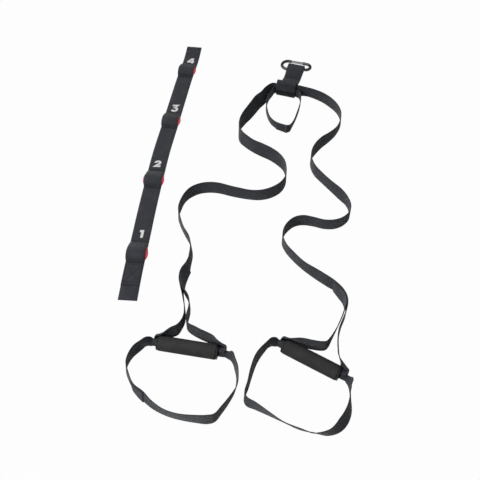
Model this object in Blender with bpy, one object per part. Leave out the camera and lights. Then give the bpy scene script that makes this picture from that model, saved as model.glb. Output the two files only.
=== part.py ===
"""A suspension trainer laid out on a floor: a strap with two handles and foot cradles, and its extender.

Metres, +Z up. The trainer lies in the XY plane with its straps on edge, as webbing comes to rest when it is
put down in loose curves. The snap hook is at the far end (+Y) and the foot cradles at the near end (-Y).
"""
import math

import bmesh
import bpy
from mathutils import Matrix, Vector

# Webbing
STRAP_WIDTH = 0.038
WEB = 0.0018            # thickness of one ply
GAP = 0.0003            # air between neighbouring pieces
ANCHOR_WIDTH = 0.045
SLEEVE_WIDTH = 0.050
SLEEVE_FRONT_HEM, SLEEVE_BACK_HEM = 0.0065, 0.0285     # how high the sleeve's hems are
STABILISER_WIDTH = 0.025
FLEX_GAP = 0.0007       # air at a place where the webbing flexes, at the sleeve
FORK_GAP = 0.0011       # and at the sewn forks
PLY = WEB + GAP         # from the middle of one ply to the middle of the next

# Sleeve that holds the main strap, and the anchor strap that it belongs to
SLEEVE_CENTRE = (0.1423, 0.3590)
SLEEVE_TURN = math.radians(-17.0)
STRAP_LIFT = PLY                    # the main strap lies on the anchor webbing inside the sleeve
MAIN_OFFSET = 0.0013                # main strap, behind the sleeve's middle
STABILISER_OFFSET = -0.0013         # stabiliser loop, in front of it
LOOP_HALF_DEPTH = 0.0038            # middle of the anchor webbing, front and back of the straps
SPINE_DISTANCE = 0.1015             # from the sleeve to the snap hook's spine
LEAVE_HEIGHT = 0.0195               # where the anchor strap leaves the back of the sleeve
LAND_DISTANCE, LAND_RADIUS = 0.064, 0.030   # where it comes down to the floor
EYE_NEAR, EYE_FAR = 0.009, 0.016    # the eye round the hook's spine, before and behind it

# Snap hook
HOOK_CENTRE = (0.1746, 0.4708)
HOOK_HEIGHT = 0.0063
HOOK_TURN = math.radians(-9.6)
BAR = 0.0040                        # radius of the bar
WIDE_END, WIDE_RADIUS = -0.0215, 0.017
NARROW_END, NARROW_RADIUS = 0.0265, 0.012
GATE_BAR = 0.0034
GATE_LENGTH = 0.036
PIN_RADIUS = 0.0012

# Handles: a foam grip on a rigid tube, with the webbing rolled up inside the tube
GRIP_HEIGHT = 0.016
GRIP_LENGTH = 0.120
FOAM_RADIUS = 0.015
TUBE_OUTER = 0.0117
TUBE_INNER = 0.0107
RING_LENGTH = 0.0025
RING_RADIUS = 0.0142
YOKE_ROLL = 0.0095                  # radius of the yoke's webbing rolled up in the tube
CRADLE_ROLL = 0.0065                # radius of the cradle's webbing rolled up inside the yoke's
HUG_RADIUS = 0.0163                 # radius of the yoke's webbing where it lies on the foam
LEFT_GRIP = ((-0.1400, -0.3785), (-0.0190, -0.4000))
RIGHT_GRIP = ((0.1070, -0.3850), (0.2095, -0.4450))

# Extender: a flat strap with four raised loops
EXTENDER_WIDTH = 0.0405
LOOP_LENGTH = 0.050
LOOP_HEIGHT = 0.0165
CREST = 0.36                        # where the loop is highest, as a share of its length
NEAR_RISE = 0.6                     # a smaller one is steeper at the loop's near foot
FAR_FALL = 1.35                     # and a larger one at its far foot
LINING_WIDTH = 0.0395
LININGS = ((0.0045, 0.16), (0.0020, 0.26), (0.0045, 0.16), (0.0045, 0.16))
                                    # for each loop, how far its red lining bulges to the right at its top,
                                    # and the share by which it is wider there
LOOP_FOOT = 0.006                   # flat length at each foot of a loop
TOP_STEP = 0.035                    # from crosswise line to crosswise line of the flat stretches
EXTENDER = [(-0.2095, -0.2730), (-0.2045, -0.2000), (-0.1965, -0.1150), (-0.1890, -0.0300), (-0.1795, 0.0600),
            (-0.1690, 0.1500), (-0.1550, 0.2400), (-0.1405, 0.3350), (-0.1255, 0.4300), (-0.1125, 0.5000),
            (-0.1055, 0.5570)]
LOOP_PLACES = (-0.152, 0.0575, 0.2545, 0.4525)
TOP_PLY_START = 0.035               # the upper ply starts this far from the tail's end

# Floor routes of the straps that stand on edge: X and Y of the lower edge, and the lean in degrees,
# positive where the upper edge lies to the left of the way along the strap
LEFT_LEG = [(0.1085, 0.3655, -8), (0.0980, 0.3470, -15), (0.0870, 0.3260, -19), (0.0740, 0.3090, -23),
            (0.0615, 0.2880, -21), (0.0490, 0.2680, -18), (0.0350, 0.2490, -11), (0.0235, 0.2290, -3),
            (0.0190, 0.2070, 2), (0.0225, 0.1840, 8), (0.0345, 0.1685, 8), (0.0525, 0.1515, 8),
            (0.0710, 0.1380, 12), (0.0945, 0.1230, 10), (0.1125, 0.1065, 7), (0.1260, 0.0875, 1),
            (0.1300, 0.0630, -1), (0.1260, 0.0390, 0), (0.1140, 0.0190, -1), (0.0920, 0.0040, 0),
            (0.0680, -0.0020, 3), (0.0450, -0.0005, 5), (0.0220, 0.0040, 3), (-0.0015, 0.0105, 2),
            (-0.0250, 0.0180, 1), (-0.0480, 0.0205, 1), (-0.0705, 0.0170, 2), (-0.0900, 0.0060, 2),
            (-0.1040, -0.0100, 4), (-0.1120, -0.0335, 2), (-0.1160, -0.0560, 3), (-0.1100, -0.0795, 1),
            (-0.0985, -0.1060, -4), (-0.0855, -0.1335, -3), (-0.0805, -0.1600, -4)]
LEFT_FORK = (-0.0830, -0.1870, -3)
RIGHT_LEG = [(0.1820, 0.3545, -9), (0.1990, 0.3530, -13), (0.2180, 0.3440, -11), (0.2375, 0.3300, -9),
             (0.2550, 0.3110, -7), (0.2700, 0.2885, -8), (0.2765, 0.2620, -6), (0.2730, 0.2380, -2),
             (0.2580, 0.2070, 5), (0.2400, 0.1850, 3), (0.2205, 0.1645, -3), (0.2050, 0.1440, -4),
             (0.1930, 0.1230, 0), (0.1910, 0.1000, -1), (0.1980, 0.0740, -2), (0.2155, 0.0480, -4),
             (0.2325, 0.0245, -3), (0.2500, 0.0000, 1), (0.2645, -0.0200, -4), (0.2690, -0.0430, -2),
             (0.2650, -0.0615, 0), (0.2505, -0.0775, 3), (0.2300, -0.0865, 4), (0.2080, -0.0860, 6),
             (0.1850, -0.0790, 6), (0.1620, -0.0755, 3), (0.1440, -0.0795, 2), (0.1300, -0.0905, 1),
             (0.1180, -0.1080, 1), (0.1140, -0.1290, 0), (0.1210, -0.1505, -4), (0.1375, -0.1755, -4),
             (0.1585, -0.1995, -5), (0.1825, -0.2215, 0)]
RIGHT_FORK = (0.2050, -0.2400, 1)

# Yokes, from the sewn fork round the handle and back
LEFT_YOKE_OUT = [(-0.0850, -0.2030, -8), (-0.0910, -0.2220, -15), (-0.0950, -0.2400, -12),
                 (-0.0950, -0.2570, -7), (-0.0920, -0.2830, -2), (-0.0885, -0.3080, 0),
                 (-0.0890, -0.3260, 1), (-0.0945, -0.3415, 1), (-0.1025, -0.3540, -3)]
LEFT_YOKE_BACK = [(-0.0450, -0.3680, -3), (-0.0560, -0.3625, -3), (-0.0670, -0.3560, -3), (-0.0770, -0.3485, 0),
                  (-0.0825, -0.3410, 0), (-0.0835, -0.3300, 0), (-0.0795, -0.3060, 0), (-0.0805, -0.2860, 1),
                  (-0.0850, -0.2720, 4), (-0.0895, -0.2635, 6)]
RIGHT_YOKE_OUT = [(0.2175, -0.2490, -2), (0.2270, -0.2660, 3), (0.2350, -0.2805, 1), (0.2370, -0.2960, 0),
                  (0.2325, -0.3160, 0), (0.2235, -0.3370, 0), (0.2170, -0.3580, -4), (0.2150, -0.3790, -8),
                  (0.2150, -0.4000, -11), (0.2180, -0.4160, -14)]
RIGHT_YOKE_BACK = [(0.1300, -0.3785, 0), (0.1460, -0.3810, 0), (0.1620, -0.3850, 0), (0.1780, -0.3875, 0),
                   (0.1880, -0.3865, 0), (0.1945, -0.3800, 0), (0.2020, -0.3650, -4), (0.2110, -0.3470, -6),
                   (0.2210, -0.3260, -6), (0.2290, -0.3090, -3)]
SEWN_OFFSET = 0.0026                # from ply to ply of the sewn stretch, with the thread between them
SEWN_POINTS = 4                     # the yoke's two ends are sewn together along this many of its first points

# Foot cradles, from the left mouth of the tube round to the right one
LEFT_CRADLE = [(-0.1620, -0.3845, 2), (-0.1765, -0.3925, -1), (-0.1890, -0.4075, 3), (-0.1955, -0.4290, 6),
               (-0.1875, -0.4525, 4), (-0.1740, -0.4740, 0), (-0.1575, -0.4920, 6), (-0.1385, -0.5075, 1),
               (-0.1145, -0.5200, -5), (-0.0890, -0.5280, -6), (-0.0600, -0.5335, -2),
               (-0.0370, -0.5360, 2), (-0.0240, -0.5320, 0), (-0.0120, -0.5165, -2), (0.0010, -0.4965, -5),
               (0.0115, -0.4750, -8), (0.0155, -0.4530, -5), (0.0130, -0.4330, -5), (0.0050, -0.4180, -2)]
RIGHT_CRADLE = [(0.0830, -0.3840, 6), (0.0690, -0.3925, 1), (0.0550, -0.4140, -4), (0.0450, -0.4415, -4),
                (0.0370, -0.4685, -1), (0.0295, -0.4910, 2), (0.0340, -0.5015, 2), (0.0505, -0.5090, -2),
                (0.0775, -0.5215, -12), (0.1045, -0.5345, -20), (0.1305, -0.5470, -18),
                (0.1570, -0.5530, -22), (0.1800, -0.5580, -4), (0.2020, -0.5520, 16), (0.2165, -0.5385, 20),
                (0.2260, -0.5180, 17), (0.2280, -0.4930, 9), (0.2240, -0.4690, 3)]

# Stabiliser loop, from the sleeve's left mouth round to its right one
STABILISER = [(0.1105, 0.3620, 0), (0.1065, 0.3540, 0), (0.0960, 0.3350, 0), (0.0895, 0.3080, 0),
              (0.0915, 0.2780, -1), (0.0990, 0.2530, -6), (0.1110, 0.2360, -6), (0.1270, 0.2265, -6),
              (0.1385, 0.2205, -1), (0.1450, 0.2220, -1), (0.1520, 0.2370, -7), (0.1640, 0.2680, -4),
              (0.1745, 0.3050, -3), (0.1785, 0.3300, 0), (0.1755, 0.3445, 0)]

WEBBING = ("webbing_charcoal", (0.028, 0.030, 0.034), 0.85, 0.0)
FOAM = ("foam_black", (0.040, 0.040, 0.039), 0.9, 0.0)
PLASTIC = ("tube_plastic", (0.020, 0.020, 0.021), 0.5, 0.0)
DARK_METAL = ("hook_dark_metal", (0.060, 0.060, 0.065), 0.4, 0.9)
BRIGHT_METAL = ("gate_bright_metal", (0.550, 0.550, 0.560), 0.3, 1.0)
RED = ("lining_red", (0.520, 0.025, 0.060), 0.8, 0.0)

LEAD_OUT = 0.0020                   # the loose straps leave the sleeve straight over this length
LIFT_LENGTH = 0.060                 # the straps come down from the sleeve to the floor over this length

# Small pieces of the snap hook
PIN_SETBACK = 0.005                 # from the end of the bar to the gate's pin
NOSE_GAP = 0.0006
TONGUE = 0.0024                     # thickness of the tongue that carries the gate
TONGUE_RADIUS = 0.0026
SPRING_LENGTH = 0.018
SPRING_START = 0.0030               # inside the gate, from its pin
SPRING_RADIUS = 0.0015
KNUCKLE_TRIM = 0.0002
LINING = 0.0010                     # thickness of the red linings
LINING_DROP = 0.0022                # how much lower than the loop a lining stands
LINING_INSET = 0.0006               # and how far inside the loop's feet, beside a ply
LINING_FULLNESS = 0.8               # a smaller one bulges more near the feet

# How the yoke turns over the ends of each tube: reach beyond the left and right mouths, and the part of
# the turn in degrees that the strap leaves out where it comes in at a slant
LEFT_REACHES = (0.005, 0.014)
LEFT_SKIPS = (0, 0)
RIGHT_REACHES = (0.008, 0.012)
RIGHT_SKIPS = (0, 40)
HUG_LENGTH = 0.030                  # the yoke curls round the foam over this length
UNROLL_LENGTH = 0.038               # the cradle unrolls over this length
CRADLE_CLEARANCE = 0.0022

# Fineness
CUFF_STEPS = 7
ROLL_STEPS = 6
LOOP_STEPS = 10
MAX_TURN = math.radians(13)         # a strap's faces turn no more than this from one to the next
MAX_STEP = 0.024
MIN_STEP = 0.001
YOKE_FINENESS = 0.6
TINY = 1e-7

# Turning axes
SPINE_MIDDLE = (0.0040, -0.0144, 0.0)       # from the hook's centre
FLEX_PLACE = SLEEVE_WIDTH / 2 + FLEX_GAP / 2    # where a leg flexes, from the sleeve's middle

UP = Vector((0, 0, 1))
SLEEVE_FRAME = Matrix.Translation((*SLEEVE_CENTRE, 0)) @ Matrix.Rotation(SLEEVE_TURN, 4, "Z")
HOOK_FRAME = Matrix.Translation((*HOOK_CENTRE, HOOK_HEIGHT)) @ Matrix.Rotation(HOOK_TURN, 4, "Z")


def material(look):
    """A Principled material, made once for each look."""
    name, colour, roughness, metallic = look
    found = bpy.data.materials.get(name)
    if found:
        return found
    made = bpy.data.materials.new(name)
    made.use_nodes = True
    shader = made.node_tree.nodes["Principled BSDF"]
    shader.inputs["Base Color"].default_value = (*colour, 1.0)
    shader.inputs["Roughness"].default_value = roughness
    shader.inputs["Metallic"].default_value = metallic
    return made


def object_from(mesh_maker, name, look):
    """A new object from a bmesh, with normals facing out."""
    bmesh.ops.recalc_face_normals(mesh_maker, faces=mesh_maker.faces)
    mesh = bpy.data.meshes.new(name)
    mesh_maker.to_mesh(mesh)
    mesh_maker.free()
    mesh.materials.append(material(look))
    made = bpy.data.objects.new(name, mesh)
    bpy.context.scene.collection.objects.link(made)
    return made


def put_origin(piece, point):
    """Moves a piece's origin to a point on its joint's axis, and leaves its shape where it is."""
    piece.data.transform(Matrix.Translation(-Vector(point)))
    piece.location = point


def smooth_curve(points, steps=14):
    """Points along a centripetal Catmull-Rom curve through points of any number of values."""
    before = tuple(2 * p - q for p, q in zip(points[0], points[1]))
    beyond = tuple(2 * p - q for p, q in zip(points[-1], points[-2]))
    ends = [before] + points + [beyond]
    curve = []
    for k in range(len(points) - 1):
        four = ends[k:k + 4]
        u, v, w = (math.dist(p[:2], q[:2]) ** 0.5 for p, q in zip(four, four[1:]))
        for step in range(steps):
            t = step / steps
            values = []
            for p, q, r, s in zip(*four):
                leaving = v * ((q - p) / u - (r - p) / (u + v)) + (r - q)
                arriving = v * ((s - r) / w - (s - q) / (v + w)) + (r - q)
                values.append(q * (2 * t ** 3 - 3 * t * t + 1) + leaving * (t ** 3 - 2 * t * t + t)
                              + r * (3 * t * t - 2 * t ** 3) + arriving * (t ** 3 - t * t))
            curve.append(tuple(values))
    curve.append(tuple(points[-1]))
    return curve


class Section:
    """One crosswise line of a strap: its middle, the way across its width, the side it curls to, and the curl."""

    def __init__(self, middle, across, side, curl=0.0):
        self.middle = middle
        self.across = across
        self.side = side
        self.curl = curl            # one over the radius, 0 where the strap is flat

    def point(self, offset):
        """The point of the strap's middle surface this far from its middle line."""
        if abs(self.curl) < 1e-3:
            return self.middle + self.across * offset
        angle = offset * self.curl
        return (self.middle + self.across * (math.sin(angle) / self.curl)
                + self.side * ((1 - math.cos(angle)) / self.curl))


def ease(t):
    """A smooth step from 0 to 1 as t goes from 0 to 1."""
    t = min(max(t, 0.0), 1.0)
    return t * t * (3 - 2 * t)


def distances(points):
    """How far along the way each point lies."""
    along = [0.0]
    for a, b in zip(points, points[1:]):
        along.append(along[-1] + (Vector(b[:2]) - Vector(a[:2])).length)
    return along


def standing(route, width=STRAP_WIDTH, lifts=(0.0, 0.0)):
    """Sections of a strap that stands on the floor on its lower edge. lifts raise its two ends."""
    curve = smooth_curve(route)
    along = distances(curve)
    sections = []
    for k, (x, y, lean) in enumerate(curve):
        before, after = curve[max(k - 1, 0)], curve[min(k + 1, len(curve) - 1)]
        forward = Vector((after[0] - before[0], after[1] - before[1], 0)).normalized()
        left = Vector((-forward.y, forward.x, 0))
        tilt = math.radians(lean)
        across = UP * math.cos(tilt) + left * math.sin(tilt)
        side = left * math.cos(tilt) - UP * math.sin(tilt)
        lift = (lifts[0] * ease(1 - along[k] / LIFT_LENGTH)
                + lifts[1] * ease(1 - (along[-1] - along[k]) / LIFT_LENGTH))
        edge = Vector((x, y, lift + abs(math.sin(tilt)) * WEB / 2))
        sections.append(Section(edge + across * (width / 2), across, side))
    return sections


def thin_out(sections, fineness=1.0):
    """Keeps only the sections that the strap's bends need. A smaller fineness keeps more of them."""
    kept = [sections[0]]
    turned = travelled = 0.0
    for k in range(1, len(sections) - 1):
        step = sections[k].middle - sections[k - 1].middle
        onward = sections[k + 1].middle - sections[k].middle
        if step.length < TINY or onward.length < TINY:
            continue
        curled = abs(sections[k].curl - sections[k - 1].curl) * STRAP_WIDTH / 6
        turned += step.angle(onward) + curled + sections[k].across.angle(sections[k - 1].across)
        travelled += step.length
        if turned > MAX_TURN * fineness or travelled > MAX_STEP * fineness:
            kept.append(sections[k])
            turned = travelled = 0.0
    if (kept[-1].middle - sections[-1].middle).length < MIN_STEP:
        kept.pop()
    return kept + [sections[-1]]


def strap(name, sections, width=STRAP_WIDTH, across_steps=1, look=WEBBING, thickness=WEB, closed=False):
    """A strap of even thickness through the sections."""
    builder = bmesh.new()
    offsets = [width * (j / across_steps - 0.5) for j in range(across_steps + 1)]
    rows = [[builder.verts.new(section.point(offset)) for offset in offsets] for section in sections]
    pairs = list(zip(rows, rows[1:]))
    if closed:
        pairs.append((rows[-1], rows[0]))
    for row, onward in pairs:
        for j in range(across_steps):
            builder.faces.new((row[j], row[j + 1], onward[j + 1], onward[j]))
    made = object_from(builder, name, look)
    ply = made.modifiers.new("ply", "SOLIDIFY")
    ply.thickness = thickness
    ply.offset = 0.0
    ply.use_even_offset = True
    return made


class Grip:
    """Where a handle lies: its middle, the way along it and the way towards the fork."""

    def __init__(self, mouths):
        first, second = (Vector((x, y, GRIP_HEIGHT)) for x, y in mouths)
        self.along = (second - first).normalized()
        self.middle = (first + second) / 2
        self.start = self.middle - self.along * (GRIP_LENGTH / 2)
        self.fork_side = Vector((-self.along.y, self.along.x, 0))

    def rolled(self, distance, radius, place, heading):
        """A section of webbing rolled round the grip's axis, its middle on the fork's side (place 1) or the
        other one (place -1). heading is -1 for a strap that first reaches the grip at its start, else 1."""
        middle = self.start + self.along * distance + self.fork_side * (place * radius)
        return Section(middle, UP, self.fork_side * heading, -heading * place / radius)

def half_height(curl, width=STRAP_WIDTH):
    """Half the height of a strap that is curled this much across its width."""
    return math.sin(min(width / 2 * curl, math.pi / 2)) / curl if curl else width / 2


def roll_up(sections, target, length, at_end, quick=False):
    """Rolls a standing strap up over its last (or first) stretch, to the curl and height of the target.
    quick opens most of the roll at once."""
    run = distances([s.middle for s in sections])
    clearance = target.middle.z - half_height(abs(target.curl))
    for section, along in zip(sections, run):
        left = max(1 - (run[-1] - along if at_end else along) / length, 0.0)
        share = left ** 3 if quick else ease(left)
        if not share:
            continue
        section.curl = target.curl * share
        section.middle.z = half_height(abs(section.curl)) + clearance * share
        section.across = (section.across + (UP - section.across) * share).normalized()
        lowest = min(section.point(STRAP_WIDTH * (j / ROLL_STEPS - 0.5)).z for j in range(ROLL_STEPS + 1))
        section.middle.z += max(WEB / 2 * share - lowest, 0.0)
    return sections


def cuff(grip, mouth, reach, heading, start_angle=0):
    """Sections where the yoke turns over one mouth of the tube, from outside the foam to inside the tube."""
    turn = (HUG_RADIUS - YOKE_ROLL) / 2
    outward = -1 if mouth == 0 else 1
    sections = []
    for k in range(CUFF_STEPS + 1):
        angle = math.radians(start_angle + (180 - start_angle) * k / CUFF_STEPS)
        radius = YOKE_ROLL + turn * (1 + math.cos(angle))
        distance = mouth + outward * (reach - turn + turn * math.sin(angle))
        sections.append(grip.rolled(distance, radius, 1, heading))
    return sections


def yoke(name, grip, fork, out_route, back_route, first, reaches, skips):
    """The yoke strap: from the fork through the tube, first mouth first, and back beside itself to the fork."""
    heading = -1 if first == 0 else 1
    last = GRIP_LENGTH - first
    step = (Vector(out_route[0][:2]) - Vector(fork[:2])).normalized() * FORK_GAP
    beginning = (fork[0] + step.x, fork[1] + step.y, fork[2])
    over_first = cuff(grip, first, reaches[0], heading, skips[0])
    over_last = cuff(grip, last, reaches[1], heading, skips[1])[::-1]
    arrival, departure = over_first[0].middle, over_last[-1].middle
    there = [beginning] + out_route + [(arrival.x, arrival.y, 0.0)]
    sewn = [out_route[k][:2] for k in range(SEWN_POINTS + 1)]
    inner_side = heading * SEWN_OFFSET
    back = [(departure.x, departure.y, 0.0)] + back_route
    for k in range(SEWN_POINTS - 1, -1, -1):
        forward = (Vector(sewn[k + 1]) - Vector(sewn[max(k - 1, 0)])).normalized()
        back.append((sewn[k][0] + forward.y * inner_side, sewn[k][1] - forward.x * inner_side, -out_route[k][2]))
    outgoing = roll_up(standing(there), over_first[0], HUG_LENGTH, at_end=True)[:-1]
    incoming = roll_up(standing(back), over_last[-1], HUG_LENGTH, at_end=False)[1:]
    made = strap(name, thin_out(outgoing + over_first + over_last + incoming, YOKE_FINENESS),
                 across_steps=ROLL_STEPS)
    put_origin(made, (fork[0], fork[1], 0.0))


def cradle(name, grip, route, reaches):
    """The foot cradle: a closed loop that leaves the tube's first mouth and comes back into its last one."""
    first = grip.rolled(-reaches[0] - CRADLE_CLEARANCE, CRADLE_ROLL, -1, -1)
    last = grip.rolled(GRIP_LENGTH + reaches[1] + CRADLE_CLEARANCE, CRADLE_ROLL, -1, -1)
    whole = [(first.middle.x, first.middle.y, 0.0)] + route + [(last.middle.x, last.middle.y, 0.0)]
    sections = roll_up(standing(whole), first, UNROLL_LENGTH, at_end=False, quick=True)
    middle = len(sections) // 2
    sections[middle:] = roll_up(sections[middle:], last, UNROLL_LENGTH, at_end=True, quick=True)
    made = strap(name, thin_out(sections), across_steps=ROLL_STEPS, closed=True)
    put_origin(made, grip.middle)


def turned(name, grip, profile, look, sides=28):
    """A ring-shaped piece round the grip's axis, from a closed profile of distance along it and radius."""
    builder = bmesh.new()
    rings = []
    for k in range(sides):
        angle = 2 * math.pi * k / sides
        out = grip.fork_side * math.cos(angle) + UP * math.sin(angle)
        rings.append([builder.verts.new(grip.start + grip.along * d + out * r) for d, r in profile])
    for ring, onward in zip(rings, rings[1:] + rings[:1]):
        for j in range(len(profile)):
            m = (j + 1) % len(profile)
            builder.faces.new((ring[j], ring[m], onward[m], onward[j]))
    made = object_from(builder, name, look)
    made.data.shade_smooth()
    made.data.set_sharp_from_angle(angle=math.radians(40))
    put_origin(made, grip.middle)


def sleeve_point(x, y, z=0.0):
    """A point given from the sleeve: x along it, y towards the snap hook."""
    return SLEEVE_FRAME @ Vector((x, y, z))


def rounded(corners, closed):
    """A path of straight stretches with rounded corners, each corner given by Y, Z and its radius."""
    path = []
    count = len(corners)
    for k, (y, z, radius) in enumerate(corners):
        corner = Vector((y, z))
        if not radius:
            path.append(corner)
            continue
        before = (Vector(corners[k - 1][:2]) - corner).normalized()
        after = (Vector(corners[(k + 1) % count][:2]) - corner).normalized()
        turn = math.pi - before.angle(after)
        reach = radius * math.tan(turn / 2)
        centre = corner + (before + after).normalized() * (radius / math.cos(turn / 2))
        steps = max(1, round(math.degrees(turn) / 18))
        start = corner + before * reach - centre
        sense = 1 if before.y * after.x - before.x * after.y > 0 else -1
        for j in range(steps + 1):
            angle = sense * turn * j / steps
            path.append(centre + Vector((start.x * math.cos(angle) - start.y * math.sin(angle),
                                         start.x * math.sin(angle) + start.y * math.cos(angle))))
    return path


def band(name, corners, width, closed):
    """A strap that runs over and under others, from its side view: Y towards the snap hook, and Z."""
    across = (SLEEVE_FRAME.to_3x3() @ Vector((1, 0, 0))).normalized()
    sections = [Section(sleeve_point(0, y, z), across, UP) for y, z in rounded(corners, closed)]
    strap(name, sections, width=width, closed=closed)


def make_anchor():
    """The anchor strap, the sleeve over it, and what lies inside the sleeve."""
    side, low, high = LOOP_HALF_DEPTH, WEB / 2, WEB / 2 + PLY
    top = STRAP_LIFT + STRAP_WIDTH + PLY - WEB / 2
    slope = math.atan2(LEAVE_HEIGHT - low, LAND_DISTANCE - side)
    eye_top = HOOK_HEIGHT + BAR + GAP + WEB
    near, far = SPINE_DISTANCE - EYE_NEAR, SPINE_DISTANCE + EYE_FAR
    under = [(-side, low, 0.002), (side, low, 0.002), (side, LEAVE_HEIGHT, 0.004),
             (LAND_DISTANCE, low, LAND_RADIUS)]
    fold = [(far, low, 0.005), (far, eye_top, 0.005), (near, eye_top, 0.008), (near - 0.013, high, 0.012)]
    over = [(LAND_DISTANCE + PLY * math.tan(slope / 2), high, LAND_RADIUS - PLY),
            (side, LEAVE_HEIGHT + PLY / math.cos(slope), 0.004), (side, top, 0.002), (-side, top, 0.002)]
    band("anchor_strap", under + fold + over, ANCHOR_WIDTH, closed=True)

    out, crown = side + PLY, top + PLY
    cover = [(-out, SLEEVE_FRONT_HEM, 0), (-out, crown, 0.004), (out, crown, 0.004), (out, SLEEVE_BACK_HEM, 0)]
    band("anchor_sleeve", cover, SLEEVE_WIDTH, closed=False)

    half = SLEEVE_WIDTH / 2
    for name, offset, width in (("main_strap_centre", MAIN_OFFSET, STRAP_WIDTH),
                                ("stabiliser_centre", STABILISER_OFFSET, STABILISER_WIDTH)):
        middle_height = STRAP_LIFT + width / 2
        side_way = SLEEVE_FRAME.to_3x3() @ Vector((0, 1, 0))
        ends = [Section(sleeve_point(x, offset, middle_height), UP, side_way) for x in (-half, half)]
        strap(name, ends, width=width)


def mouth(x_sign, offset):
    """Where a loose strap begins, just outside the sleeve: two route points, the nearer one first."""
    points = [sleeve_point(x_sign * (SLEEVE_WIDTH / 2 + FLEX_GAP + out), offset) for out in (0.0, LEAD_OUT)]
    return [(point.x, point.y, 0.0) for point in points]


def make_loose_straps():
    """The two long legs and the stabiliser loop."""
    left = mouth(-1, MAIN_OFFSET) + LEFT_LEG + [LEFT_FORK]
    right = mouth(1, MAIN_OFFSET) + RIGHT_LEG + [RIGHT_FORK]
    for name, route, x_sign in (("left_leg_strap", left, -1), ("right_leg_strap", right, 1)):
        made = strap(name, thin_out(standing(route, lifts=(STRAP_LIFT, 0.0))))
        put_origin(made, sleeve_point(x_sign * FLEX_PLACE, MAIN_OFFSET))
    loop = mouth(-1, STABILISER_OFFSET) + STABILISER + mouth(1, STABILISER_OFFSET)[::-1]
    lifts = (STRAP_LIFT, STRAP_LIFT)
    made = strap("stabiliser_loop", thin_out(standing(loop, STABILISER_WIDTH, lifts)), STABILISER_WIDTH)
    put_origin(made, sleeve_point(0, STABILISER_OFFSET, STRAP_LIFT + STABILISER_WIDTH))


def make_handle(side, mouths, fork, out_route, back_route, cradle_route, first, reaches, skips):
    """One handle: the grip, the yoke strap to the fork and the foot cradle."""
    grip = Grip(mouths)
    inner = TUBE_OUTER + GAP
    near, far = RING_LENGTH + GAP, GRIP_LENGTH - RING_LENGTH - GAP
    bevel = 0.0012
    turned(side + "_grip_foam", grip,
           [(near, inner), (far, inner), (far, FOAM_RADIUS - bevel), (far - bevel, FOAM_RADIUS),
            (near + bevel, FOAM_RADIUS), (near, FOAM_RADIUS - bevel)], FOAM)
    turned(side + "_grip_tube", grip,
           [(GAP, TUBE_INNER), (GRIP_LENGTH - GAP, TUBE_INNER), (GRIP_LENGTH - GAP, TUBE_OUTER),
            (GAP, TUBE_OUTER)], PLASTIC)
    for name, start in (("_grip_ring_left", 0.0), ("_grip_ring_right", GRIP_LENGTH - RING_LENGTH)):
        turned(side + name, grip,
               [(start, inner), (start + RING_LENGTH, inner), (start + RING_LENGTH, RING_RADIUS),
                (start, RING_RADIUS)], PLASTIC)
    order = reaches if first == 0 else reaches[::-1]
    skip_order = skips if first == 0 else skips[::-1]
    yoke(side + "_yoke_strap", grip, fork, out_route, back_route, first, order, skip_order)
    cradle(side + "_foot_cradle", grip, cradle_route, reaches)


def bar(builder, path, radius, sides=12):
    """A round bar along a level path, with flat ends, added to the builder."""
    rings = []
    for k, point in enumerate(path):
        before, after = path[max(k - 1, 0)], path[min(k + 1, len(path) - 1)]
        forward = (after - before).normalized()
        sideways = forward.cross(UP)
        rings.append([builder.verts.new(point + sideways * (radius * math.cos(a)) + UP * (radius * math.sin(a)))
                      for a in (2 * math.pi * j / sides for j in range(sides))])
    for ring, onward in zip(rings, rings[1:]):
        for j in range(sides):
            m = (j + 1) % sides
            builder.faces.new((ring[j], ring[m], onward[m], onward[j]))
    builder.faces.new(rings[0][::-1])
    builder.faces.new(rings[-1])


def tool(name, builder, look=DARK_METAL):
    """A shape that only cuts or joins another one."""
    made = object_from(builder, name, look)
    made.hide_render = True
    made.display_type = "WIRE"
    return made


def drum(name, radius, depth, frame, sides=20):
    """An upright round tool."""
    builder = bmesh.new()
    bmesh.ops.create_cone(builder, cap_ends=True, segments=sides, radius1=radius, radius2=radius, depth=depth,
                          matrix=frame)
    return tool(name, builder)


def block(name, size, frame):
    """A box-shaped tool."""
    builder = bmesh.new()
    bmesh.ops.create_cube(builder, size=1.0, matrix=frame @ Matrix.Diagonal((*size, 1.0)))
    return tool(name, builder)


def tongue(name, reach, frame):
    """The flat tongue that carries the gate: round at the pin and reaching back from it."""
    outline = [(-reach, TONGUE_RADIUS), (-reach, -TONGUE_RADIUS)]
    outline += [(TONGUE_RADIUS * math.cos(a), TONGUE_RADIUS * math.sin(a))
                for a in (math.radians(-90 + 18 * k) for k in range(11))]
    builder = bmesh.new()
    lower, upper = ([builder.verts.new(frame @ Vector((x, y, z))) for x, y in outline]
                    for z in (-TONGUE / 2, TONGUE / 2))
    builder.faces.new(lower)
    builder.faces.new(upper)
    for k in range(len(outline)):
        m = (k + 1) % len(outline)
        builder.faces.new((lower[k], lower[m], upper[m], upper[k]))
    return tool(name, builder)


def combine(target, other, operation):
    """Joins the other shape to the target, or cuts it away."""
    step = target.modifiers.new(other.name, "BOOLEAN")
    step.operation = operation
    step.solver = "EXACT"
    step.object = other


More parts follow.
